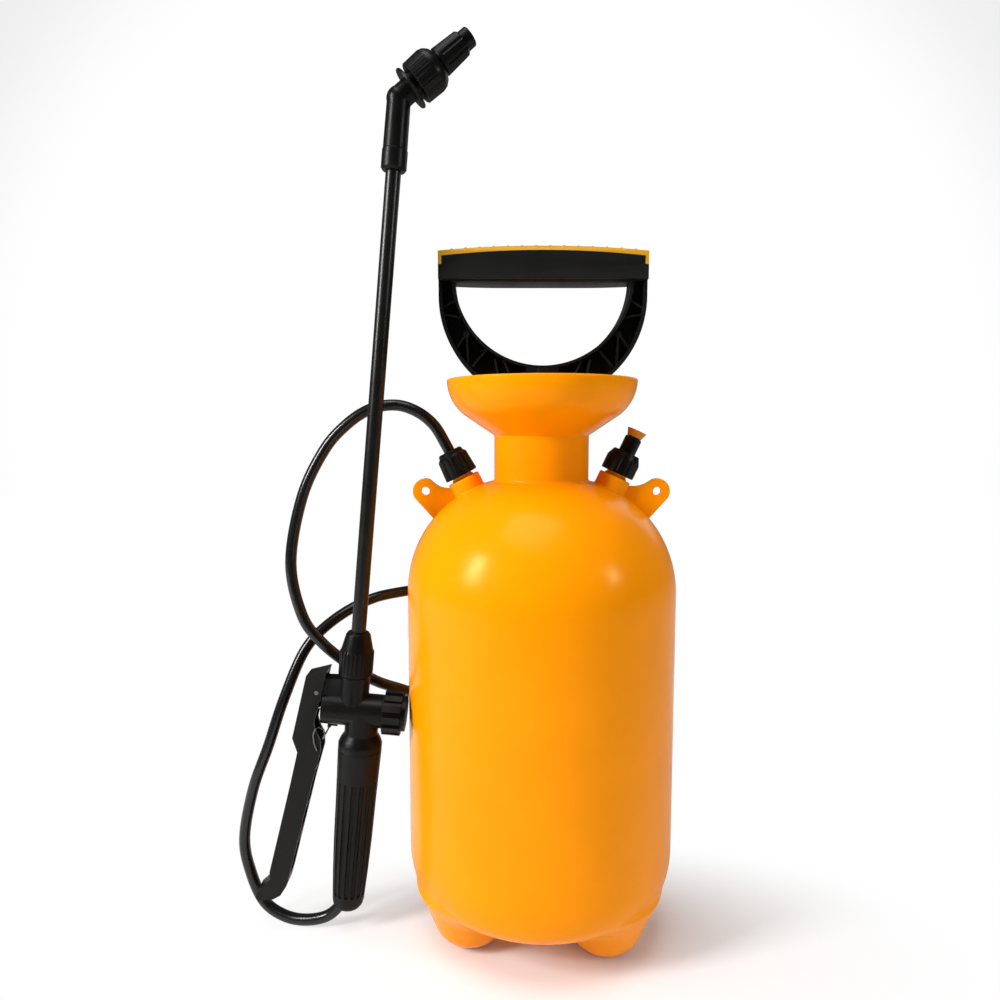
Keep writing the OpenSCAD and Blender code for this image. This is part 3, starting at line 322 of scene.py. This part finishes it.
# Parts of a noise's range, or of the pointiness, that are stretched to the full change.
NOISE_MIDDLE, SCUFF_PEAKS, WORN_EDGE = (0.3, 0.7), (0.62, 0.74), (0.53, 0.62)

# How far the gloss wanders round its mean, and what a full scuff adds to the roughness.
GLOSS_LOW, GLOSS_HIGH, SCUFF_ROUGH = 0.88, 1.14, 0.15


def scaled(color, k):
    return tuple(min(1.0, c * k) for c in color)


def faded(color, keep, add):
    """A colour weakened towards grey."""
    return tuple(c * keep + add for c in color)


def material(name, color, roughness, grain_mm, grain_depth, mottle, ripple=0.0, scuffs=0.0, edge=0.0,
             specular=0.5, tint=(1.0, 1.0, 1.0)):
    """A moulded or drawn surface, mottled, uneven in gloss and grained; it may be rippled, scuffed or worn.

    Sizes and depths are in millimetres; edge is how strongly a worn edge shows.
    """
    mat = bpy.data.materials.new(name)
    mat.use_nodes = True
    tree = mat.node_tree
    shader = tree.nodes["Principled BSDF"]
    place = tree.nodes.new("ShaderNodeTexCoord").outputs["Object"]

    blotches = mapped(tree, noise(tree, place, MOTTLE_MM, 4.0), NOISE_MIDDLE, (0.0, 1.0))
    tone = mixed(tree, "RGBA", blotches, scaled(color, 1 - mottle), scaled(color, 1 + mottle))
    gloss = mapped(
        tree, noise(tree, place, GLOSS_MM, 5.0), NOISE_MIDDLE, (roughness * GLOSS_LOW, roughness * GLOSS_HIGH)
    )
    if scuffs:
        marks = mapped(tree, noise(tree, place, SCUFF_MM, 8.0, 0.75), SCUFF_PEAKS, (0.0, scuffs))
        tone = mixed(tree, "RGBA", marks, tone, faded(color, 0.6, 0.25))
        gloss = combined(tree, "ADD", gloss, mapped(tree, marks, (0.0, 1.0), (0.0, SCUFF_ROUGH)))
    if edge:
        pointiness = tree.nodes.new("ShaderNodeNewGeometry").outputs["Pointiness"]
        worn = mapped(tree, pointiness, WORN_EDGE, (0.0, edge))
        tone = mixed(tree, "RGBA", worn, tone, faded(color, 0.7, 0.12))
    normal = bumped(tree, noise(tree, place, grain_mm, 2.0), grain_depth)
    if ripple:
        normal = bumped(tree, noise(tree, place, RIPPLE_MM, 1.0), ripple, normal)

    feed(tree, shader.inputs["Base Color"], tone)
    feed(tree, shader.inputs["Roughness"], gloss)
    feed(tree, shader.inputs["Normal"], normal)
    feed(tree, shader.inputs["Specular IOR Level"], specular)
    feed(tree, shader.inputs["Specular Tint"], tint)
    return mat


def metal(name, color, roughness):
    mat = material(name, color, roughness, 0.8, 0.004, mottle=0.05)
    mat.node_tree.nodes["Principled BSDF"].inputs["Metallic"].default_value = 1.0
    return mat


ORANGE = material(
    "tank_polyethylene", (0.97, 0.298, 0.0004), 0.24, 0.9, 0.012,
    mottle=0.03, ripple=0.2, scuffs=0.02, specular=0.15, tint=(1.0, 0.95, 0.4),
)
CAP_YELLOW = material(
    "cap_plastic", (0.55, 0.27, 0.004), 0.40, 0.6, 0.02, mottle=0.05, scuffs=0.06, edge=0.15, specular=0.2
)
KNOB_YELLOW = material(
    "knob_plastic", (0.60, 0.225, 0.005), 0.42, 0.6, 0.02, mottle=0.06, edge=0.15, specular=0.2
)
BLACK = material(
    "black_plastic", (0.0040, 0.0039, 0.0037), 0.34, 0.55, 0.03,
    mottle=0.18, scuffs=0.015, edge=0.08, specular=0.14,
)
BLACK_SATIN = material(
    "black_textured", (0.0060, 0.0059, 0.0055), 0.42, 0.45, 0.05,
    mottle=0.15, scuffs=0.015, edge=0.10, specular=0.14,
)
BLACK_GLOSS = material(
    "lance_coating", (0.006, 0.0059, 0.0054), 0.30, 0.8, 0.004, mottle=0.15, scuffs=0.02, specular=0.3
)
HOSE_BLACK = material(
    "hose_pvc", (0.007, 0.007, 0.007), 0.22, 1.8, 0.004, mottle=0.12, scuffs=0.02, specular=0.4
)
NATURAL = material("natural_plastic", (0.72, 0.71, 0.66), 0.45, 0.8, 0.02, mottle=0.03)
RUBBER = material("seal_rubber", (0.022, 0.022, 0.022), 0.7, 0.5, 0.03, mottle=0.1)
STEEL = metal("spring_steel", (0.62, 0.62, 0.61), 0.24)
DARK_STEEL = metal("blackened_steel", (0.16, 0.16, 0.155), 0.34)

BY_SLOT = {
    "yellow_shell": ORANGE,
    "cap_yellow": CAP_YELLOW,
    "black_plastic": BLACK,
    "black_gloss": BLACK_GLOSS,
    "natural_plastic": NATURAL,
    "seal_rubber": RUBBER,
    "hose_pvc": HOSE_BLACK,
    "steel": STEEL,
}
SLOT_OF = {s["node"]: s["material_slot"] for s in frame["record"]["subparts"]}
BODY_OF = {n: b for b, nodes in frame["record"]["behaviour"]["bodies"].items() for n in nodes}
OWN_MATERIAL = {
    "trigger_pin": DARK_STEEL, "latch_wire": DARK_STEEL, "relief_knob": KNOB_YELLOW,
    "handle_frame": BLACK_SATIN, "grip": BLACK_SATIN, "trigger": BLACK_SATIN,
}


def material_of(node):
    return OWN_MATERIAL.get(node, BY_SLOT[SLOT_OF[node]])


for node, obj in frame["nodes"].items():
    obj.data.materials.clear()
    obj.data.materials.append(material_of(node))


# ---------------------------------------------------------------- hose

port = port_matrix(-1)
gun = gun_matrix()
hose_line = smooth_line(
    [port @ Vector((0, 0, HOSE_START)), port @ Vector((0, 0, HOSE_START + HOSE_STRAIGHT))]
    + HOSE_POINTS
    + [gun @ Vector(p) for p in HOSE_IN_GUN],
    HOSE_STEPS,
)
last_ring = (len(hose_line) - 1) * HOSE_SIDES
hose_faces = grid_faces(len(hose_line), HOSE_SIDES)
hose_faces += [tuple(reversed(range(HOSE_SIDES))), tuple(range(last_ring, last_ring + HOSE_SIDES))]
hose_mesh = mesh_from("hose", tube_points(hose_line, HOSE_R, HOSE_SIDES), hose_faces)
hose = new_object("hose_tube", hose_mesh, "tank", HOSE_BLACK)
mark_sharp(hose, 50)
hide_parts("hose")


# ---------------------------------------------------------------- studio: floor

# The floor's fade into white, metres round a spot below the object; depth counts FADE_DEPTH times.
FADE_FROM, FADE_TO, FADE_DEPTH = 0.05, 0.29, 2.0
FADE_X, FADE_Y = AXIS_X + 0.03, -0.045
PAPER_COLOR, FLOOR_GLOW = (0.86, 0.86, 0.87), 0.02
FLOOR_FRONT, FLOOR_BACK, FLOOR_SIDE = -0.75, 3.5, 3.0


def floor_paper():
    """White paper that takes the shadow near the object and turns into plain white further out."""
    mat = bpy.data.materials.new("floor_paper")
    mat.use_nodes = True
    tree = mat.node_tree
    nodes, links = tree.nodes, tree.links
    nodes.clear()
    paper = nodes.new("ShaderNodeBsdfDiffuse")
    feed(tree, paper.inputs["Color"], PAPER_COLOR)
    white = nodes.new("ShaderNodeEmission")
    white.inputs["Strength"].default_value = 1.0
    spot = nodes.new("ShaderNodeNewGeometry").outputs["Position"]
    stretched = nodes.new("ShaderNodeVectorMath")
    stretched.operation = "MULTIPLY"
    stretched.inputs[1].default_value = (1, FADE_DEPTH, 1)
    links.new(spot, stretched.inputs[0])
    away = nodes.new("ShaderNodeVectorMath")
    away.operation = "DISTANCE"
    away.inputs[1].default_value = (FADE_X, FADE_Y * FADE_DEPTH, 0)
    links.new(stretched.outputs["Vector"], away.inputs[0])
    fade = mapped(tree, away.outputs["Value"], (FADE_FROM, FADE_TO), (FLOOR_GLOW, 1.0), "SMOOTHSTEP")
    camera_ray = nodes.new("ShaderNodeLightPath").outputs["Is Camera Ray"]
    mix = nodes.new("ShaderNodeMixShader")
    links.new(combined(tree, "MULTIPLY", camera_ray, fade), mix.inputs["Fac"])
    links.new(paper.outputs[0], mix.inputs[1])
    links.new(white.outputs[0], mix.inputs[2])
    links.new(mix.outputs[0], nodes.new("ShaderNodeOutputMaterial").inputs["Surface"])
    return mat


floor_corners = [
    (-FLOOR_SIDE, FLOOR_FRONT, 0), (FLOOR_SIDE, FLOOR_FRONT, 0),
    (FLOOR_SIDE, FLOOR_BACK, 0), (-FLOOR_SIDE, FLOOR_BACK, 0),
]
floor_mesh = bpy.data.meshes.new("floor")
floor_mesh.from_pydata(floor_corners, [], [(0, 1, 2, 3)])
floor = bpy.data.objects.new("floor", floor_mesh)
scene.collection.objects.link(floor)
floor_mesh.materials.append(floor_paper())


# ---------------------------------------------------------------- studio: lamps

LAMP_AIM = Vector((AXIS_X, 0, 0.27))


def lamp(name, azimuth, elevation, distance, size, power):
    """A soft box; azimuth runs from the camera's side (-Y) towards +X."""
    data = bpy.data.lights.new(name, "AREA")
    data.shape = "RECTANGLE"
    data.size, data.size_y = size
    data.energy = power
    az, el = math.radians(azimuth), math.radians(elevation)
    way = Vector((math.sin(az) * math.cos(el), -math.cos(az) * math.cos(el), math.sin(el)))
    at = LAMP_AIM + distance * way
    obj = bpy.data.objects.new(name, data)
    obj.location = at
    obj.rotation_euler = (at - LAMP_AIM).to_track_quat("Z", "Y").to_euler()
    scene.collection.objects.link(obj)


lamp("key_left", -62, 24, 1.5, (0.3, 0.55), 22)
lamp("fill_right", 60, 19, 1.6, (0.14, 0.3), 5)
lamp("top", -25, 72, 1.7, (1.0, 1.0), 15)
lamp("rim_back", 140, 25, 1.6, (0.5, 0.9), 1.5)


# ---------------------------------------------------------------- studio: world

# What lights the object, what gloss mirrors at the camera's side and at the back, and the level of the
# painted shade that darkens the backdrop towards the corners of the view.
WORLD_LEVEL = 0.28
GLOSSY_FRONT, GLOSSY_BACK = 0.02, 0.14
CORNER_PAINTED_SHADE = 0.86

# Ranges of a direction's Y: of the mirrored light, and of the ring of painted shade round the white middle of
# the view.
MIRROR_RANGE, AHEAD_RANGE, BESIDE_RANGE = (-0.3, 0.8), (0.765, 0.845), (0.60, 0.72)

world = bpy.data.worlds.new("studio")
scene.world = world
world.use_nodes = True
sky = world.node_tree
direction = sky.nodes.new("ShaderNodeTexCoord")
split = sky.nodes.new("ShaderNodeSeparateXYZ")
sky.links.new(direction.outputs["Generated"], split.inputs[0])
depth = split.outputs["Y"]
rays = sky.nodes.new("ShaderNodeLightPath")
shiny = combined(sky, "MAXIMUM", rays.outputs["Is Glossy Ray"], rays.outputs["Is Transmission Ray"])
mirrored = mapped(sky, depth, MIRROR_RANGE, (GLOSSY_FRONT, GLOSSY_BACK), "SMOOTHSTEP")
lit_or_mirrored = mixed(sky, "FLOAT", shiny, WORLD_LEVEL, mirrored)
# Painted shade: seen by the camera, the backdrop turns grey towards the corners of the view, a vignette.
ahead = mapped(sky, depth, AHEAD_RANGE, (CORNER_PAINTED_SHADE, 1.0), "SMOOTHSTEP")
beside = mapped(sky, depth, BESIDE_RANGE, (1.0, CORNER_PAINTED_SHADE), "SMOOTHSTEP")
shown = combined(sky, "MAXIMUM", ahead, beside)
strength = mixed(sky, "FLOAT", rays.outputs["Is Camera Ray"], lit_or_mirrored, shown)
ground = sky.nodes["Background"]
ground.inputs["Color"].default_value = (1, 1, 1, 1)
feed(sky, ground.inputs["Strength"], strength)


# ---------------------------------------------------------------- tank

# The underside is found along rays that fan out from a ring inside the body.
RAY_RING_R = 66.0
MARCH_STEPS, MARCH_SHARE = 70, 0.9


def body_distance(r, z):
    """Signed distance to the turned body, millimetres."""
    shoulder = np.hypot(np.maximum(r - SHOULDER_C[0], 0), z - BODY_TOP) - SHOULDER_R
    side = r - BODY_R
    flank = np.hypot(r - FLANK_C[0], z - FLANK_C[1]) - FLANK_R
    heel = np.hypot(np.maximum(r - HEEL_C[0], 0), z - HEEL_C[1]) - HEEL_R
    turn = np.degrees(np.arctan2(z - FLANK_C[1], r - FLANK_C[0]))
    low = np.where(turn > -FLANK_ANGLE, flank, heel)
    return np.where(z > BODY_TOP, shoulder, np.where(z > FLANK_C[1], side, low))


def foot_distance(x, y, z):
    """Signed distance to the nearest foot: a round toe, a widening leg and a shoulder drawn in above it."""
    flare = math.radians(FOOT_FLARE)
    low_q = FOOT_FLAT + FOOT_ROUND * math.cos(flare)
    low_z = FOOT_ROUND * (1 - math.sin(flare))
    widest = low_q + (FOOT_SHOULDER_Z - low_z) * math.tan(flare)
    rise = FOOT_TOP - FOOT_SHOULDER_Z
    slant = math.hypot(rise, FOOT_DRAW_IN)
    nearest = None
    for front in (-90, 90):
        for side in (-1, 1):
            foot_x, foot_y = polar((0, 0), FOOT_CIRCLE, front + side * FOOT_SPREAD + FOOT_TURN)
            q = np.hypot(x - foot_x, y - foot_y)
            leg = (q - FOOT_FLAT) * math.cos(flare) - (z - FOOT_ROUND) * math.sin(flare)
            toe = np.hypot(np.maximum(q - FOOT_FLAT, 0), z - FOOT_ROUND)
            bearing = np.degrees(np.arctan2(z - FOOT_ROUND, np.maximum(q - FOOT_FLAT, 1e-6)))
            d = np.where(bearing < -FOOT_FLARE, toe, leg) - FOOT_ROUND
            d = np.maximum(d, ((q - widest) * rise + (z - FOOT_SHOULDER_Z) * FOOT_DRAW_IN) / slant)
            nearest = d if nearest is None else np.minimum(nearest, d)
    return nearest


def blended(a, b, k):
    """The smaller of two distances, with a fillet of about k where they meet."""
    h = np.clip(0.5 + 0.5 * (b - a) / k, 0, 1)
    return b * (1 - h) + a * h - k * h * (1 - h)


def bowl_floor(r, inset, slope):
    """Height of the bowl's sloping floor at a radius, on the face that lies an inset above the outer one."""
    side = BOWL_R - inset
    a = math.radians(slope - 90)
    fall = (BOWL_C[0] + side * math.cos(a) - r) * math.tan(math.radians(slope))
    return BOWL_C[1] + side * math.sin(a) - fall


def underside_rows():
    """Rows of the blended underside, from the axis out to the widest ring."""
    start = math.degrees(math.atan2(BASE_Z - FLANK_C[1], -RAY_RING_R))
    around = np.radians(np.arange(TANK_COLUMNS) * 360 / TANK_COLUMNS)
    fan = np.radians(np.linspace(start, 0, UNDERSIDE_ROWS + 1))[1:]
    a, f = np.meshgrid(around, fan)
    t = np.zeros_like(a)
    for _ in range(MARCH_STEPS):
        r = RAY_RING_R + t * np.cos(f)
        z = FLANK_C[1] + t * np.sin(f)
        feet = foot_distance(r * np.cos(a), r * np.sin(a), z)
        t = t - MARCH_SHARE * blended(body_distance(np.abs(r), z), feet, FOOT_BLEND)
    r = RAY_RING_R + t * np.cos(f)
    z = FLANK_C[1] + t * np.sin(f)
    return [list(zip(row_r * np.cos(around), row_r * np.sin(around), row_z)) for row_r, row_z in zip(r, z)]


def turned_rows(profile):
    """A ring of points for each point of an outline of radius and height."""
    return [[(r * cos, r * sin, z) for cos, sin in circle(TANK_COLUMNS)] for r, z in profile]


def tank_profile():
    """Outline above the widest ring: side, shoulder, neck, bowl, rim, and back down the inside."""
    out = [(BODY_R, z) for z in np.linspace(FLANK_C[1] + 4, BODY_TOP - 4, 30)]

    blend_r = NECK_R + NECK_BLEND
    blend_rise = math.sqrt((SHOULDER_R + NECK_BLEND) ** 2 - (blend_r - SHOULDER_C[0]) ** 2)
    blend_c = (blend_r, SHOULDER_C[1] + blend_rise)
    join = math.degrees(math.atan2(blend_c[1] - SHOULDER_C[1], blend_c[0] - SHOULDER_C[0]))
    out += arc(SHOULDER_C, SHOULDER_R, 0, join, 56)
    out += arc(blend_c, NECK_BLEND, join - 180, -180, 6)[1:]

    slope = math.radians(BOWL_OUTER_SLOPE)
    meet_z = bowl_floor(NECK_R, 0, BOWL_OUTER_SLOPE)
    crease_c = (NECK_R + NECK_CREASE, meet_z + NECK_CREASE * math.tan(slope) - NECK_CREASE / math.cos(slope))
    out += [(NECK_R, z) for z in np.linspace(blend_c[1] + 3, crease_c[1] - 2, 6)]
    out += arc(crease_c, NECK_CREASE, 180, 90 + BOWL_OUTER_SLOPE, 5)

    out += arc(BOWL_C, BOWL_R, BOWL_OUTER_SLOPE - 90, -2.2, 34)
    out += arc((RIM_R - RIM_OUTER, RIM_Z - RIM_OUTER), RIM_OUTER, 0, 90, 6)[1:]
    out += arc((RIM_R - BOWL_WALL + RIM_INNER, RIM_Z - RIM_INNER), RIM_INNER, 90, 180, 3)
    out += arc(BOWL_C, BOWL_R - BOWL_WALL, -2, BOWL_SLOPE - 90, 30)

    seat_z = bowl_floor(SEAT_R, BOWL_WALL, BOWL_SLOPE)
    out += [(SEAT_R + SEAT_EDGE, seat_z + 0.2), (SEAT_R, seat_z)]
    out += [(NECK_BORE + SEAT_EDGE, seat_z), (NECK_BORE, seat_z - SEAT_EDGE), (NECK_BORE, 340.0)]

    inner = SHOULDER_R - WALL
    leave = math.degrees(math.acos((NECK_BORE - SHOULDER_C[0]) / inner))
    out += arc(SHOULDER_C, inner, leave, 0, 24)
    out += [(BODY_R - WALL, z) for z in (200.0, 150.0, 100.0, 62.0)]
    out += arc(HEEL_C, HEEL_R - WALL, -FLANK_ANGLE, -90, 8)
    out += [(r, BASE_Z + WALL) for r in (40.0, 10.0)]
    return out


def closed_turn(name, rows, first_tip, last_tip):
    """Mesh of rings of points, drawn together to a point at either end."""
    columns = len(rows[0])
    points = [p for row in rows for p in row]
    faces = grid_faces(len(rows), columns)
    first, last = len(points), len(points) + 1
    base = (len(rows) - 1) * columns
    faces += [(first, (k + 1) % columns, k) for k in range(columns)]
    faces += [(last, base + k, base + (k + 1) % columns) for k in range(columns)]
    return mesh_from(name, [*points, first_tip, last_tip], faces)


tank_rows = underside_rows() + turned_rows(tank_profile())
tank_mesh = closed_turn("tank_shell", tank_rows, (0, 0, BASE_Z), (0, 0, BASE_Z + WALL))
tank_shell = new_object("tank_shell", tank_mesh, "tank", ORANGE)
mark_sharp(tank_shell, 38)
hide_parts("tank")


# ---------------------------------------------------------------- ports

# A port's cylinder leaves the shoulder between these distances along the port's axis.
LEAVE_LOW, LEAVE_HIGH, HALVINGS = 50.0, 88.0, 40


def on_shoulder(matrix, radius):
    """Height along a port's axis at which a cylinder of that radius leaves the shoulder, all round."""
    out = []
    for cos, sin in circle(BOSS_COLUMNS):
        low, high = LEAVE_LOW, LEAVE_HIGH
        for _ in range(HALVINGS):
            mid = (low + high) / 2
            p = matrix @ Vector((radius * cos, radius * sin, mid))
            if body_distance(np.array(math.hypot(p.x, p.y)), np.array(p.z)) > 0:
                high = mid
            else:
                low = mid
        out.append(low)
    return out


def port_boss(side):
    """Boss with a small fillet on the shoulder, and a threaded spigot."""
    matrix = port_matrix(side)
    rows = []

    def ring(radius, heights):
        rows.append([
            tuple(matrix @ Vector((radius * cos, radius * sin, height)))
            for (cos, sin), height in zip(circle(BOSS_COLUMNS), heights)
        ])

    def flat_ring(radius, height):
        ring(radius, [height] * BOSS_COLUMNS)

    ring(BOSS_R - BOSS_FOOT, [h - BOSS_FOOT for h in on_shoulder(matrix, BOSS_R - BOSS_FOOT)])
    for k in range(FILLET_STEPS + 1):
        b = math.pi / 2 * (FILLET_STEPS - k) / FILLET_STEPS
        radius = BOSS_R + BOSS_FILLET * (1 - math.cos(b))
        ring(radius, [h - BOSS_SUNK + BOSS_FILLET * (1 - math.sin(b)) for h in on_shoulder(matrix, radius)])
    flat_ring(BOSS_R, BOSS_TOP - 1.0)
    flat_ring(BOSS_R - 0.3, BOSS_TOP - 0.3)
    flat_ring(BOSS_R - 1.0, BOSS_TOP)
    flat_ring(SPIGOT_R + 1.2, BOSS_TOP)
    flat_ring(SPIGOT_R + 0.3, BOSS_TOP + 0.3)
    flat_ring(SPIGOT_R, BOSS_TOP + 1.2)
    for turn in range(THREAD_TURNS):
        base = BOSS_TOP + THREAD_START + THREAD_PITCH * turn
        for radius, up in THREAD_TURN:
            flat_ring(radius, min(base + up, SPIGOT_TOP - THREAD_END))
    flat_ring(SPIGOT_R - 0.3, SPIGOT_TOP)
    flat_ring(SPIGOT_BORE, SPIGOT_TOP)
    flat_ring(SPIGOT_BORE, SPIGOT_FLOOR)

    points = [p for row in rows for p in row]
    faces = grid_faces(len(rows), BOSS_COLUMNS)
    last = (len(rows) - 1) * BOSS_COLUMNS
    for j in range(BOSS_COLUMNS):
        k = (j + 1) % BOSS_COLUMNS
        faces.append((last + j, last + k, k, j))
    name = "port_boss_" + side_name(side)
    boss = new_object(name, mesh_from(name, points, faces), "tank", ORANGE)
    mark_sharp(boss, 45)
    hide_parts("tank")


# ---------------------------------------------------------------- strap lugs

# Share of the way from the lug's round to the boss, and how far its edge sags there, millimetres.
LUG_SAG = ((0.15, 0.9), (0.3, 1.7), (0.5, 2.1), (0.75, 1.5), (1.0, 0.2))
LUG_TAIL, LUG_END_ANGLE, LUG_HOLE_STEPS = 30, 112, 48


def plate_from_outline(name, outline, hole, thickness, rounding):
    """A flat plate in the XZ plane with a hole and rounded edges, from points in millimetres."""
    curve = bpy.data.curves.new(name, "CURVE")
    curve.dimensions = "2D"
    curve.fill_mode = "BOTH"
    curve.extrude = (thickness / 2 - rounding) * MM
    curve.bevel_depth = rounding * MM
    curve.bevel_resolution = 2
    curve.offset = -rounding * MM
    for loop in (outline, hole):
        spline = curve.splines.new("POLY")
        spline.points.add(len(loop) - 1)
        for point, (x, z) in zip(spline.points, loop):
            point.co = (x * MM + AXIS_X, z * MM, 0, 1)
        spline.use_cyclic_u = True
    scratch = bpy.data.objects.new(name, curve)
    mesh = bpy.data.meshes.new_from_object(scratch)
    bpy.data.objects.remove(scratch)
    bpy.data.curves.remove(curve)
    mesh.transform(Matrix.Rotation(math.pi / 2, 4, "X"))
    mesh.materials.clear()
    return mesh


def beside_port(side, along, across):
    """Point at a distance along a port's axis and at another across it, on the right-hand side."""
    tilt = math.radians(PORT_TILT[side])
    return (
        SHOULDER_C[0] + along * math.sin(tilt) + across * math.cos(tilt),
        SHOULDER_C[1] + along * math.cos(tilt) - across * math.sin(tilt),
    )


def strap_lug(side):
    """Lug between a boss and the shoulder, drawn on the right-hand side and mirrored for the left."""
    c = polar(SHOULDER_C, SHOULDER_R + LUG_STAND, LUG_ANGLE)
    edge = math.radians(LUG_EDGE_ANGLE)
    tip = (c[0] + LUG_R * math.sin(edge), c[1] - LUG_R * math.cos(edge))
    outline = [(tip[0] - LUG_TAIL * math.cos(edge), tip[1] - LUG_TAIL * math.sin(edge))]
    outline += arc(c, LUG_R, LUG_EDGE_ANGLE - 90, LUG_END_ANGLE, 40)
    end = outline[-1]
    waist = beside_port(side, BOSS_TOP - 1.8, BOSS_R)
    for t, sag in LUG_SAG:
        outline.append((end[0] + (waist[0] - end[0]) * t, end[1] + (waist[1] - end[1]) * t - sag))
    outline += [beside_port(side, BOSS_TOP - 4, BOSS_R - 6), beside_port(side, SHOULDER_R - 6, 0)]
    hole = arc(c, LUG_HOLE_R, 0, 360, LUG_HOLE_STEPS)[:-1]
    outline, hole = ([(side * x, z) for x, z in loop] for loop in (outline, hole))
    mesh = plate_from_outline("lug", outline, hole, LUG_T, LUG_ROUND)
    lug = new_object("strap_lug_" + side_name(side), mesh, "tank", ORANGE)
    mark_sharp(lug, 25)
    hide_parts("tank")


for side in (-1, 1):
    port_boss(side)
    strap_lug(side)


# ---------------------------------------------------------------- CAD pieces that show, with rounded edges

# Cleaning of a solid's facets before its edges are rounded: metres, metres, degrees.
MERGE_WITHIN, SLIVER_WITHIN, FLAT_WITHIN = 2e-6, 1e-6, 0.6
ROUNDED_ABOVE, ROUNDING_SEGMENTS, NORMAL_WEIGHT = 28, 2, 80

# Width of the rounded edge, millimetres.
ROUNDED = {
    "hose_nut": 0.35, "relief_nut": 0.35, "relief_stem": 0.3, "relief_knob": 0.25,
    "rod_guide": 0.4, "lock_sleeve": 0.3,
    "handle_frame": 0.45, "grip_cap": 0.8,
    "gun_body": 0.4, "grip": 0.4, "valve_cap": 0.4, "trigger": 1.0,
    "lance_nut": 0.3, "elbow": 0.4, "nozzle_nut": 0.35, "nozzle_tip": 0.35,
}


def dressed(node, width_mm):
    """A copy of a CAD piece whose sharp edges are rounded over."""
    mesh = frame["nodes"][node].data.copy()
    mesh.name = node + "_shown"
    bm = bmesh.new()
    bm.from_mesh(mesh)
    bmesh.ops.remove_doubles(bm, verts=bm.verts, dist=MERGE_WITHIN)
    bmesh.ops.dissolve_degenerate(bm, edges=bm.edges, dist=SLIVER_WITHIN)
    bmesh.ops.dissolve_limit(
        bm,
        angle_limit=math.radians(FLAT_WITHIN),
        verts=bm.verts,
        edges=bm.edges,
        use_dissolve_boundaries=False,
    )
    bm.to_mesh(mesh)
    bm.free()
    mesh.materials.clear()
    obj = new_object(node + "_shown", mesh, BODY_OF[node], material_of(node))
    bevel = obj.modifiers.new("rounded", "BEVEL")
    bevel.width = width_mm * MM
    bevel.segments = ROUNDING_SEGMENTS
    bevel.limit_method = "ANGLE"
    bevel.angle_limit = math.radians(ROUNDED_ABOVE)
    bevel.use_clamp_overlap = True
    bevel.harden_normals = False
    bevel.miter_outer = "MITER_ARC"
    normals = obj.modifiers.new("normals", "WEIGHTED_NORMAL")
    normals.keep_sharp = True
    normals.weight = NORMAL_WEIGHT
    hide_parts(node)


for node, width in ROUNDED.items():
    dressed(node, width)
